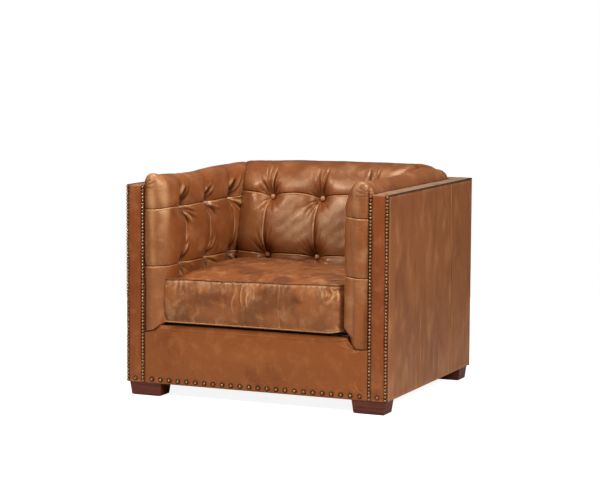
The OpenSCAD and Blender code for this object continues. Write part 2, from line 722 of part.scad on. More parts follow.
// The slider straddles the chain, and its pull hangs from it
module zip_slider() color(brass) translate([zip_start, cushion_back + tape_t + slider_gap, zip_z]) {
    half = chain_w / 2 + slider_gap;
    cap = chain_t;
    difference() {
        slab([0, 0, -half - slider_wall], [slider_l, cap + slider_wall, half + slider_wall]);
        slab([-eps, -eps, -half], [slider_l + eps, cap, half]);
    }
    // The pull: a tab with a rounded end and a hole for the finger
    translate([slider_l / 2, cap + slider_wall, 0]) rotate([90, 0, 0])
        linear_extrude(slider_wall) difference() {
        union() {
            translate([-pull_w / 2, -half - slider_wall - pull_l + pull_w / 2])
                square([pull_w, slider_wall + pull_l - pull_w / 2]);
            translate([0, -half - slider_wall - pull_l + pull_w / 2]) circle(d = pull_w);
        }
        translate([0, -half - slider_wall - pull_l + pull_w / 2]) circle(d = pull_w / 2);
    }
}

seat_cross_rail();  // front_seat_rail
on_end(1) seat_cross_rail();  // rear_seat_rail
on_side(-1) seat_side_rail();  // left_seat_rail
seat_side_rail();  // right_seat_rail
on_side(-1) post();  // front_left_post
post();  // front_right_post
on_side(-1) on_end(1) post();  // rear_left_post
on_end(1) post();  // rear_right_post
on_side(-1) arm_rail();  // left_arm_rail
arm_rail();  // right_arm_rail
back_top_rail();
on_side(-1) side_tack_rail();  // left_tack_rail
side_tack_rail();  // right_tack_rail
back_tack_rail();
corner_blocks();
seat_spring(spring_xs[0]);  // seat_spring_1
seat_spring(spring_xs[1]);  // seat_spring_2
seat_spring(spring_xs[2]);  // seat_spring_3
seat_spring(spring_xs[3]);  // seat_spring_4
seat_spring(spring_xs[4]);  // seat_spring_5
spring_clips();
spring_tie_wires();
deck_pad();
deck_cloth();
on_side(-1) arm_webbing();  // left_arm_webbing
arm_webbing();  // right_arm_webbing
back_webbing();
on_side(-1) arm_pad();  // left_arm_pad
arm_pad();  // right_arm_pad
back_pad();
on_side(-1) arm_buttons();  // left_arm_buttons
arm_buttons();  // right_arm_buttons
back_buttons();
on_side(-1) outside_arm();  // left_outside_arm
outside_arm();  // right_outside_arm
outside_back();
on_side(-1) arm_facing();  // left_arm_facing
arm_facing();  // right_arm_facing
front_border();
on_side(-1) top_strip_side();  // left_top_strip
top_strip_side();  // right_top_strip
top_strip_back();  // back_top_strip
outer_piping();
inner_piping();
on_side(-1) arm_nails();  // left_nails
arm_nails();  // right_nails
border_nails();
cushion_core();
cushion_cover();
cushion_piping();
cushion_zip();
zip_slider();
dust_cover();
on_side(-1) foot();  // front_left_foot
foot();  // front_right_foot
on_side(-1) on_end(1) foot();  // rear_left_foot
on_end(1) foot();  // rear_right_foot
foot_bolts();
foot_nuts();
foot_felts();
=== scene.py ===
"""Looks of a box-arm club chair in waxed tan leather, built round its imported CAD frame.

Metres, +Z up; the chair faces -Y. Pads, panels and the cushion are meshes made here on the frame's own sizes;
nails, piping, buttons, feet and everything inside are the CAD nodes, with procedural materials.
"""

import math

import bpy
import numpy as np
from mathutils import Matrix, Vector
from mathutils.kdtree import KDTree


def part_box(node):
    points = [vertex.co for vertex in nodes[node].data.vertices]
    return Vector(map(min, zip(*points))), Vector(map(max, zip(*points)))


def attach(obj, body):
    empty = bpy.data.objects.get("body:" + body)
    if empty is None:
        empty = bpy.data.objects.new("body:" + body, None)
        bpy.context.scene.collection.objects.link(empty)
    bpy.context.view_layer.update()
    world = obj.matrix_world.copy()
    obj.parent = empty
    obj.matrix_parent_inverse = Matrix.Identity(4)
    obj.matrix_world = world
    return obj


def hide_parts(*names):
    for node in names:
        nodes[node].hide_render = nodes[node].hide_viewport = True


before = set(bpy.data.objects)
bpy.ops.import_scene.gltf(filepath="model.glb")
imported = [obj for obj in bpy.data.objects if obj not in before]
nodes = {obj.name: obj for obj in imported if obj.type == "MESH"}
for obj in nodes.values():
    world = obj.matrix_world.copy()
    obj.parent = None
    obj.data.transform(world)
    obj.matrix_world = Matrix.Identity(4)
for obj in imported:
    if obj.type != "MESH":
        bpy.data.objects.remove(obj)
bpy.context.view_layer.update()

# ------------ sizes, nearly all from the frame
arm_low, arm_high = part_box("right_arm_pad")
PAD_X, WALL_X = arm_low.x, arm_high.x
FRONT_Y, PAD_FOOT, ARM_TOP = arm_low.y, arm_low.z, arm_high.z
back_low, back_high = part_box("back_pad")
WALL_Y, BACK_TOP = back_high.y, back_high.z
STRIP_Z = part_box("right_top_strip")[0].z
CUSHION_LOW, CUSHION_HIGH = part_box("cushion_cover")

BUTTON_R = 0.009
arm_buttons, back_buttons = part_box("right_arm_buttons"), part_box("back_buttons")
ARM_COLUMNS = np.linspace(arm_buttons[0].y + BUTTON_R, arm_buttons[1].y - BUTTON_R, 3)
ARM_ROWS = (arm_buttons[0].z + BUTTON_R, arm_buttons[1].z - BUTTON_R)
BACK_COLUMNS = np.linspace(back_buttons[0].x + BUTTON_R, back_buttons[1].x - BUTTON_R, 3)

LEAN = math.tan(math.radians(13))     # the back pad's face leans by 13 degrees
BACK_ROWS = (0.432, 0.6288)           # heights of its buttons
BACK_FACE_Y = 0.143                   # its face at the upper buttons
MITRE = 0.076                         # from that face back to the arm pads' rear ends
SPINE_Y = WALL_Y - LEAN * (STRIP_Z - BACK_ROWS[1])
MITRE_SLOPE = (SPINE_Y - BACK_FACE_Y - MITRE) / (WALL_X - PAD_X)
NOSE = 0.05                           # radius of the arm pads' inner front corner, in plan
PAD_EDGE = 0.039                      # how far an arm pad's outer top edge rolls down
# Where the border's leather meets the arm pads' fronts: distances from the middle, and heights, on either side
HEEL_OUT = (0.3, 0.3095, 0.3165, 0.3235, 0.3335, 0.344, 0.3575, 0.394)
HEEL_RIGHT = (0.264, 0.252, 0.243, 0.231, 0.221, 0.213, 0.2085, 0.2065)
HEEL_LEFT = (0.25, 0.249, 0.2475, 0.2455, 0.2405, 0.233, 0.224, 0.214)
HEEL_END = (0.345, 0.368)             # the seam fades out between these distances from the middle
NAIL, NAIL_PITCH = 0.0104, 0.011      # column nails
ROW_NAIL, ROW_COUNT = 0.0116, 24      # nails along the front's lower edge
CUSHION_CORNERS = (0.013, 0.032)      # radii of its upright corners, left and right
FLOOR_LIFT = 0.9                      # how much of its own light the floor shows to the camera under the chair


# ------------ small maths
def quarter(u):
    """Height of a quarter circle of radius 1 at distance u from where it starts."""
    return np.sqrt(1 - (1 - np.clip(u, 0, 1)) ** 2)


def rolled(gap, radius):
    """1 at an edge, falling to 0 a radius away from it as a quarter circle does."""
    return 1 - quarter(gap / radius)


def smooth(u, low=0.0, high=1.0):
    """0 below low, 1 above high, and smooth in between."""
    t = np.clip((u - low) / (high - low), 0, 1)
    return t * t * (3 - 2 * t)


def fade(u, low, high):
    """1 below low, 0 above high, and smooth in between."""
    return 1 - smooth(u, low, high)


def hump(u, width):
    """1 at 0, dying away on both sides over about a width."""
    return np.exp(-(u / width) ** 2)


def arch(u):
    """Half a wave: 0 at 0 and at 1, and 1 between them."""
    return np.sin(math.pi * np.clip(u, 0, 1))


def heel(x):
    """Height of the seam between the border and an arm pad at x."""
    out = np.abs(x)
    return np.where(x > 0, np.interp(out, HEEL_OUT, HEEL_RIGHT), np.interp(out, HEEL_OUT, HEEL_LEFT))


def lines(low, high, step, marks=(), fine=0.0008, reach=0.007):
    """Grid lines from low to high, step apart, and fine apart close to each mark."""
    at = np.linspace(low, high, 4000)
    density = np.full(at.shape, 1 / step)
    for mark in marks:
        density = density + (1 / fine - 1 / step) * hump(at - mark, reach)
    share = np.concatenate([[0], np.cumsum((density[1:] + density[:-1]) / 2)])
    count = int(share[-1] * (at[1] - at[0])) + 1
    return np.interp(np.linspace(0, share[-1], count), share, at)


def crossed(a, b):
    """The grid where two sets of lines cross."""
    return np.broadcast_arrays(a[:, None], b[None, :])


def waves(p, q, size, seed, count=7):
    """Smooth unevenness between -1 and 1 over a surface, with bumps about size across."""
    rng = np.random.default_rng(seed)
    total = np.zeros(np.broadcast(p, q).shape)
    for _ in range(count):
        angle, phase = rng.uniform(0, math.tau, 2)
        pitch = size * rng.uniform(0.7, 1.5)
        total += np.sin((p * math.cos(angle) + q * math.sin(angle)) * math.pi / pitch + phase)
    return total / count ** 0.5 / 1.6


# ------------ node materials
def srgb(code):
    """Linear colour from a screen colour, 0xRRGGBB."""
    parts = [(code >> shift & 255) / 255 for shift in (16, 8, 0)]
    return tuple(((c + 0.055) / 1.055) ** 2.4 if c > 0.0404 else c / 12.92 for c in parts) + (1.0,)


def put(tree, value, socket):
    if isinstance(value, bpy.types.NodeSocket):
        tree.links.new(value, socket)
    else:
        socket.default_value = value


def add_node(tree, kind, output, inputs, **settings):
    """Adds a shader node with its inputs set or linked, and returns one of its outputs."""
    node = tree.nodes.new("ShaderNode" + kind)
    for key, value in settings.items():
        setattr(node, key, value)
    for key, value in inputs.items():
        put(tree, value, node.inputs[key])
    return node.outputs[output]


class Paint:
    """One procedural material, built a node at a time. Textures run in the frame's own metres."""

    def __init__(self, name, roughness=0.5, metallic=0.0, **sockets):
        self.material = bpy.data.materials.new(name)
        self.material.use_nodes = True
        self.tree = self.material.node_tree
        self.shader = self.tree.nodes["Principled BSDF"].inputs
        for socket, value in dict(sockets, Roughness=roughness, Metallic=metallic).items():
            self.shader[socket.replace("_", " ")].default_value = value
        self.coords = self.node("TexCoord", "Object", {})

    def node(self, kind, output, inputs, **settings):
        return add_node(self.tree, kind, output, inputs, **settings)

    def noise(self, scale, detail=4.0, roughness=0.5, distortion=0.0, stretch=None):
        at = self.node("Mapping", "Vector", {"Vector": self.coords, "Scale": stretch}) if stretch else self.coords
        return self.node("TexNoise", "Fac", {"Vector": at, "Scale": scale, "Detail": detail,
                                             "Roughness": roughness, "Distortion": distortion})

    def attribute(self, name):
        return self.node("Attribute", "Fac", {}, attribute_name=name)

    def ramp(self, value, low, high, start=0.0, end=1.0):
        return self.node("MapRange", "Result", {"Value": value, "From Min": low, "From Max": high, "To Min": start,
                                                "To Max": end}, interpolation_type="SMOOTHSTEP")

    def maths(self, operation, a, b=0.0):
        return self.node("Math", 0, {0: a, 1: b}, operation=operation)

    def mix(self, share, a, b):
        return self.node("Mix", 2, {"Factor": share, 6: a, 7: b}, data_type="RGBA")

    def bump(self, height, distance, strength, *after):
        return self.node("Bump", "Normal", {"Distance": distance, "Strength": strength, "Height": height,
                                            **{"Normal": normal for normal in after}})

    def finish(self, colour, roughness=None, normal=None):
        for socket, value in (("Base Color", colour), ("Roughness", roughness), ("Normal", normal)):
            if value is not None:
                put(self.tree, value, self.shader[socket])
        return self.material


def leather(name, tan, dark, pale, patches=(0.46, 0.7), clouds=(0.48, 0.74), size=6.0, gloss=0.34, grain=1.0,
            streaks=None, shine=0.85, ripples=False, mottle=1.0):
    """Waxed pull-up leather: dark patches, paler rubbed clouds, pale ridges, fine pebble grain.

    The mesh's per-vertex value holds painted light as well as wear: it runs from -1, painted shade deep in a crease,
    dark and with little shine, to 1, a ridge rubbed pale and given a painted highlight.
    """
    tan, dark, pale = srgb(tan), srgb(dark), srgb(pale)
    paint = Paint(name, Specular_Tint=(1.0, 0.76, 0.5, 1.0), Specular_IOR_Level=shine, Coat_Weight=0.04,
                  Coat_Roughness=0.2)
    patch = paint.noise(size, 3.5, 0.55, 0.7, streaks)
    cloud = paint.noise(size * 2.7, 4.0, 0.55, 0.4, streaks)
    fleck = paint.noise(size * 26, 3.0, 0.6)
    wear_shade_highlight = paint.attribute("wear_shade_highlight")
    # Painted shade colour, for the darkest creases and pockets
    deep = tuple(c * 0.22 for c in dark[:3]) + (1.0,)
    colour = tan
    for mask, low, high, most, other in (
            (patch, *patches, 0.7 * mottle, dark), (cloud, *clouds, 0.4 * mottle, pale),
            (fleck, 0.35, 0.75, 0.3, dark), (wear_shade_highlight, 0.05, 0.75, 0.55, pale), (wear_shade_highlight, -0.1, -1.0, 0.8, deep)):
        colour = paint.mix(paint.ramp(mask, low, high, 0.0, most), colour, other)
    # The shine drops where painted shade darkens the leather
    put(paint.tree, paint.ramp(wear_shade_highlight, -0.55, -0.05, 0.15 * shine, shine), paint.shader["Specular IOR Level"])
    rough = paint.ramp(cloud, 0.3, 0.7, gloss - 0.05, gloss + 0.1)
    pebble = paint.node("TexVoronoi", "Distance", {"Vector": paint.coords, "Scale": 620}, feature="SMOOTH_F1")
    normal = paint.bump(paint.noise(70, 6.0, 0.65, 0.5), 0.0012, 0.35 * grain)
    normal = paint.bump(pebble, 0.0004, 0.35, normal)
    if ripples:
        level = paint.noise(1.0, 2.0, 0.5, 0.0, (16.0, 16.0, 170.0))
        normal = paint.bump(paint.maths("MULTIPLY", level, paint.attribute("ripple")), 0.0022, 0.75, normal)
    return paint.finish(colour, rough, normal)


def wood(name, light, dark, scale=1.0, gloss=0.45, shine=0.5):
    """Straight-grained wood: stretched bands, finer pores and a little blotching."""
    light, dark = srgb(light), srgb(dark)
    paint = Paint(name, Specular_IOR_Level=shine)
    band, pores = (paint.noise(per_metre * scale, detail, 0.6, bend, (1.0, 14.0, 14.0))
                   for per_metre, detail, bend in ((7, 5.0, 1.2), (55, 3.0, 0.0)))
    blotch = paint.noise(9, 3.0)
    colour = paint.mix(paint.ramp(band, 0.35, 0.65), light, dark)
    colour = paint.mix(paint.ramp(pores, 0.55, 0.8, 0.0, 0.5), colour, dark)
    colour = paint.mix(paint.ramp(blotch, 0.4, 0.8, 0.0, 0.4), colour, dark)
    rough = paint.ramp(blotch, 0.3, 0.7, gloss - 0.06, gloss + 0.08)
    return paint.finish(colour, rough, paint.bump(pores, 0.0003, 0.4))


def cloth(name, light, dark, pitch=0.0012, gloss=0.85):
    """Plain woven or felted cloth: two crossed sets of threads, with lint."""
    light, dark = srgb(light), srgb(dark)
    paint = Paint(name, Sheen_Weight=0.25)
    warp, weft = (paint.noise(0.25 / pitch, 2.0, 0.5, 0.0, way) for way in ((4.0, 0.4, 4.0), (0.4, 4.0, 4.0)))
    weave, lint = paint.maths("ADD", warp, weft), paint.noise(30, 5.0, 0.65)
    colour = paint.mix(paint.ramp(weave, 0.8, 1.2), light, dark)
    colour = paint.mix(paint.ramp(lint, 0.45, 0.75, 0.0, 0.45), colour, dark)
    rough = paint.ramp(lint, 0.3, 0.7, gloss - 0.05, gloss + 0.08)
    return paint.finish(colour, rough, paint.bump(weave, pitch * 0.4, 0.6))


def metal(name, bright, dull, gloss=0.35, scale=180, rim=None):
    """Metal with tarnish in patches and a fine scratched surface. With a rim colour, domed heads get painted shade at
    the rim, from the way the surface faces, and stay bright on top.
    """
    paint = Paint(name, metallic=0.7 if rim else 1.0)
    tarnish = paint.noise(scale, 4.0, 0.6, 0.5)
    scratch = paint.noise(scale * 5, 3.0, 0.6, 0.0, (1.0, 1.0, 6.0))
    colour = paint.mix(paint.ramp(tarnish, 0.4, 0.62), srgb(bright), srgb(dull))
    if rim:
        # Painted shade: the rim colour takes over where a head's surface turns away from facing front or back
        facing = paint.node("SeparateXYZ", "Y", {0: paint.node("TexCoord", "Normal", {})})
        colour = paint.mix(paint.ramp(paint.maths("ABSOLUTE", facing), 0.7, 0.97, 0.97, 0.0), colour, srgb(rim))
    rough = paint.ramp(tarnish, 0.35, 0.7, gloss - 0.08, gloss + 0.18)
    return paint.finish(colour, rough, paint.bump(scratch, 0.0002, 0.3))


LOOKS = {
    "maple": wood("frame_wood", 0xC4A074, 0xA47A50),
    "mahogany": wood("foot_stain", 0x6C2E1C, 0x481B11, 1.4, 0.4, 0.4),
    # The last colour is painted shade for the rims of the domed heads
    "brass": metal("antique_brass", 0xCEA87A, 0x78583A, 0.3, 420, 0x1A120C),
    "wire": metal("spring_wire", 0x96989B, 0x605E5C, 0.34, 120),
    "zinc": metal("zinc_plate", 0xBABCBE, 0x8C8E92, 0.32, 90),
    "jute": cloth("jute_web", 0xB09268, 0x806240, 0.003),
    "lining": cloth("black_lining", 0x201B18, 0x120F0D, 0.001),
    "felt": cloth("dense_felt", 0x46423E, 0x2C2A28, 0.0016),
    "foam": cloth("foam_core", 0xE2D4A0, 0xC6B480, 0.0022),
    "tape": cloth("zip_tape", 0x3E2E24, 0x241C18, 0.0008),
}
# One tan leather throughout: the parts' base tones also hold painted light and shade, set part by part, darker on the
# back, border and facings and lighter on the arm pads, cushion and outer panels
for look, colours, finish in (
        ("pad", (0x91532B, 0x5A2C18, 0xD6A272), dict(ripples=True, mottle=0.55, shine=0.95)),
        ("back", (0x7E4623, 0x582E19, 0xC08A5E), dict(mottle=0.5, shine=0.78)),
        ("border", (0x8B4D26, 0x6C3518, 0xAC6C3C), dict(size=9.0, patches=(0.5, 0.8), mottle=0.9, shine=0.45)),
        ("cushion", (0x92552D, 0x582E1E, 0xCE9E70), dict(size=9.0, gloss=0.42, patches=(0.42, 0.66), mottle=0.85,
                                                         shine=0.62, grain=1.6)),
        ("cord", (0x9E6840, 0x78482A, 0xBE8E64), dict(size=14.0)),
        ("facing", (0x854522, 0x6A3219, 0xB87848), dict(size=9.0, mottle=0.7, shine=0.45)),
        ("outside", (0x96592F, 0x7A452A, 0xBA845A), dict(size=6.5, gloss=0.46, patches=(0.42, 0.7), shine=0.45,
                                                         streaks=(1.0, 1.0, 0.42))),
        ("strip", (0x9A765A, 0x704E3A, 0xB89678), dict(size=9.0, gloss=0.5)),
        ("piping", (0x462C20, 0x30201A, 0x684C3A), dict(size=12.0, gloss=0.45)),
        ("button", (0x9E6036, 0x784226, 0xC89262), dict(size=30.0))):
    LOOKS[look] = leather(look + "_leather", *colours, **finish)


# ------------ meshes
def mark(piece, name, values):
    """Stores a number for every vertex, which the materials read."""
    piece.data.attributes.new(name, "FLOAT", "POINT").data.foreach_set("value", values.astype(np.float32))


def placed(name, data):
    """A new object in the scene."""
    thing = bpy.data.objects.new(name, data)
    bpy.context.scene.collection.objects.link(thing)
    return thing


def mesh_piece(name, points, faces, wear_shade_highlight=None):
    mesh = bpy.data.meshes.new(name)
    mesh.from_pydata([tuple(p) for p in points], [], faces)
    mesh.validate()
    mesh.shade_smooth()
    piece = placed(name, mesh)
    if wear_shade_highlight is not None:
        mark(piece, "wear_shade_highlight", wear_shade_highlight)
    return piece


def paint_piece(piece, look):
    piece.data.materials.clear()
    piece.data.materials.append(LOOKS[look])


def settle(piece, look, node, body="chair"):
    """Gives a new piece its material, hides the CAD node it stands for, and hangs it on the body it rides on."""
    paint_piece(piece, look)
    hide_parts(node)
    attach(piece, body)
    return piece


def shell(name, grid, hub, wear_shade_highlight, backing=None, flip=False):
    """A closed piece: the grid is its face, and its rim closes to the hub, by way of a flat backing if given."""
    points = grid.reshape(-1, 3)
    index = np.arange(len(points)).reshape(grid.shape[:2])
    faces = np.stack([index[:-1, :-1], index[1:, :-1], index[1:, 1:], index[:-1, 1:]], axis=2).reshape(-1, 4).tolist()
    # The rim runs against the way the faces turn
    rim = np.concatenate([index[0], index[1:, -1], index[-1, -2::-1], index[-2:0:-1, 0]])
    if backing is not None:
        axis, value = backing
        flat = points[rim]
        flat[:, axis] = value
        ring = len(points) + np.arange(len(rim))
        points = np.vstack([points, flat])
        faces += np.stack([rim, np.roll(rim, -1), np.roll(ring, -1), ring], axis=1).tolist()
        rim = ring
    faces += [[a, b, len(points)] for a, b in zip(rim.tolist(), np.roll(rim, -1).tolist())]
    points = np.vstack([points, [hub]])
    if flip:
        faces = [face[::-1] for face in faces]
    full = np.zeros(len(points))
    full[:index.size] = np.clip(wear_shade_highlight, -1, 1).reshape(-1)
    return mesh_piece(name, points, faces, full)


def normals(grid):
    """Unit normals of a grid of points, from its neighbours."""
    turn = np.cross(np.gradient(grid, axis=0), np.gradient(grid, axis=1))
    return turn / np.maximum(np.linalg.norm(turn, axis=2, keepdims=True), 1e-12)


def eased(grid, window, rounds):
    """The grid with its points drawn towards their neighbours' middles along the second axis, where window says."""
    share = 0.5 * window[None, 1:-1, None]
    for _ in range(rounds):
        grid[:, 1:-1] += share * ((grid[:, :-2] + grid[:, 2:]) / 2 - grid[:, 1:-1])
    return grid


# ------------ tufting
def pleat(d, depth, width, lip=0.0011):
    """Height and painted light across a pleat: a soft valley and a sharp fold in painted shade, and a lip with a
    painted highlight on the side where d > 0.
    """
    fold = hump(d, 0.0012)
    valley = np.exp(-np.abs(d) / width)
    ridge = hump(d - 0.0036, 0.0022)
    return -depth * valley - 0.0024 * fold + lip * ridge, -fold - 0.2 * valley + 0.75 * ridge


def crease(p, q, start, degrees, length, depth, width, bend=0.0, lead=0.012):
    """Height and painted light of one fold that runs out from start and dies away over its length: painted shade in
    its valley, a painted highlight on its ridge.
    """
    a = math.radians(degrees)
    along = (p - start[0]) * math.cos(a) + (q - start[1]) * math.sin(a)
    side = -(p - start[0]) * math.sin(a) + (q - start[1]) * math.cos(a)
    side = side - bend * np.clip(along / length, 0, 1.5) ** 2 * length
    share = smooth(along, lead, lead + 0.25 * length) * fade(along, 0.55 * length, length + lead)
    width = width * (1 + 0.5 * np.clip(along / length, 0, 1))
    valley, ridge = hump(side, width), hump(side - 1.7 * width, width)
    return share * depth * (0.9 * ridge - valley), share * (0.6 * ridge - 0.8 * valley)


def scattered(columns, rows, pattern, seed):
    """The folds round every button: each row of the pattern, in degrees and millimetres, a little varied."""
    rng = np.random.default_rng(seed)
    return [((column, row), degrees + rng.uniform(-7, 7), length / 1000 * rng.uniform(0.8, 1.2),
             depth / 1000 * rng.uniform(0.7, 1.3), width / 1000 * rng.uniform(0.85, 1.2),
             bend + rng.uniform(-0.08, 0.08))
            for column in columns for row in rows for degrees, length, depth, width, bend in pattern]


def tufted(p, q, pw, qw, columns, rows, bulge, column_fade, row_fade, folds, column_valley, row_valley, hand=1):
    """Height and painted shade and highlights of a square-tufted face. p and q are straight along its pleats; pw and
    qw are true.

    A valley is (depth, width, broad depth, broad width); columns' lips are on the side that hand points to.
    """
    height = bulge.copy()
    shade_and_highlight = np.zeros(p.shape)
    for at, places, share, (deep, wide, broad, reach), way in (
            (p, columns, column_fade, column_valley, hand), (q, rows, row_fade, row_valley, -1)):
        for place in places:
            d = way * (at - place)
            h, c = pleat(d, deep, wide)
            height += share * (h - broad / (1 + (d / reach) ** 2))
            shade_and_highlight += share * c
    for start, degrees, length, depth, width, bend in folds:
        h, c = crease(pw, qw, start, degrees, length, depth, width, bend)
        height += h
        shade_and_highlight += c * min(1, depth / 0.002)
    for column in columns:
        for row in rows:
            # The pit is flat 7.5 mm out from the button's middle, and then climbs over some 19 mm; painted shade
            # darkens it
            r = np.hypot(pw - column, qw - row)
            share = np.exp(-(np.maximum(r - 0.0075, 0) / 0.019) ** 1.25)
            height = height * (1 - share) - PIT * share
            shade_and_highlight = shade_and_highlight * (1 - 0.4 * share) - 0.45 * share
    return height, shade_and_highlight


def pad_grid(ends, heights, columns, rows, step, reach, roof_rows, roof_step):
    """Grid lines over a pad's face, close together at its pleats, and on over its top.

    Also the number of rows on the face, and how far across the top each further row lies, from 0 to 1.
    """
    levels = lines(*heights, step, rows, 0.0008, 0.011)
    turns = np.linspace(0, math.pi, roof_rows)[1:]
    above = heights[1] + np.cumsum(np.full(len(turns), roof_step))
    p, q = crossed(lines(*ends, step, columns, 0.0009, reach), np.concatenate([levels, above]))
    return p, q, len(levels), (1 - np.cos(turns))[None, :] / 2


def wander(p, q, columns, rows, bows, sags, lift, power, reach, calm, rough, size, seed, share=1):
    """Where a pad's pleats truly run: columns bow between their buttons, rows sag between columns, unevenly."""
    pw, qw = p.astype(float), q.astype(float)
    swing = arch((q - rows[0]) / (rows[1] - rows[0])) ** power
    above = lift * np.sin(math.pi / 2 * np.clip((q - rows[1]) / 0.1, 0, 1))
    for column, bow in zip(columns, bows):
        pw = pw + hump(p - column, 0.055) * (bow * swing + above)
    cell = np.abs(np.sin(math.pi * ((p - columns[0]) / (columns[1] - columns[0])))) ** power * share
    for row, sag in zip(rows, sags):
        qw = qw + fade(q, row + calm[0], calm[1]) * hump(q - row, reach) * sag * cell
        qw = qw + hump(q - row, 0.02) * rough * waves(p, q, size, seed)
    return pw, qw


def climb(q, knee, crest, wall_top):
    """Heights up a pad's face: q itself below the knee, then stretched to reach the wall's top at the crest."""
    return np.where(q < knee, q, knee + np.clip((q - knee) / (crest - knee), 0, 1) * (wall_top - knee))


# ------------ arm pads
PIT = 0.0265                          # depth of the pads' button pits
# Folds round a button: direction in degrees, length, depth and width in mm, bend
ARM_FOLDS = ((80, 85, 3.2, 4.8, -0.25), (104, 70, 2.6, 4, -0.25), (60, 80, 2.8, 4, 0.3), (42, 80, 2.4, 3.6, 0.35),
             (128, 50, 1.6, 4, 0.2), (-32, 85, 2.6, 4.2, 0.15), (-45, 80, 2.4, 4, 0.15), (-58, 75, 2.6, 4.5, 0.15),
             (-74, 60, 2, 4, 0.1), (-18, 60, 1.6, 3.8, 0.1), (-118, 50, 1.6, 4, -0.2), (160, 45, 1.2, 4, 0))
BACK_FOLDS = ((70, 100, 1.4, 2.8, 0.15), (82, 85, 1, 2.4, 0.1), (56, 60, 1, 2.8, 0.15), (98, 100, 1.5, 2.8, -0.1),
              (110, 90, 1.3, 2.8, -0.15), (124, 75, 1.3, 2.8, -0.1), (138, 62, 1.2, 2.8, -0.05),
              (152, 52, 0.9, 2.8, 0), (40, 50, 0.8, 2.8, 0.1), (205, 60, 1.4, 3.2, 0.15), (218, 68, 1.4, 3, 0.15),
              (232, 70, 1.4, 3.2, 0.1), (246, 55, 1, 2.8, 0.1), (-62, 60, 1, 3.2, -0.1), (-40, 52, 0.9, 3, -0.1),
              (-20, 45, 0.7, 2.8, -0.1), (18, 45, 0.7, 2.8, 0.1))


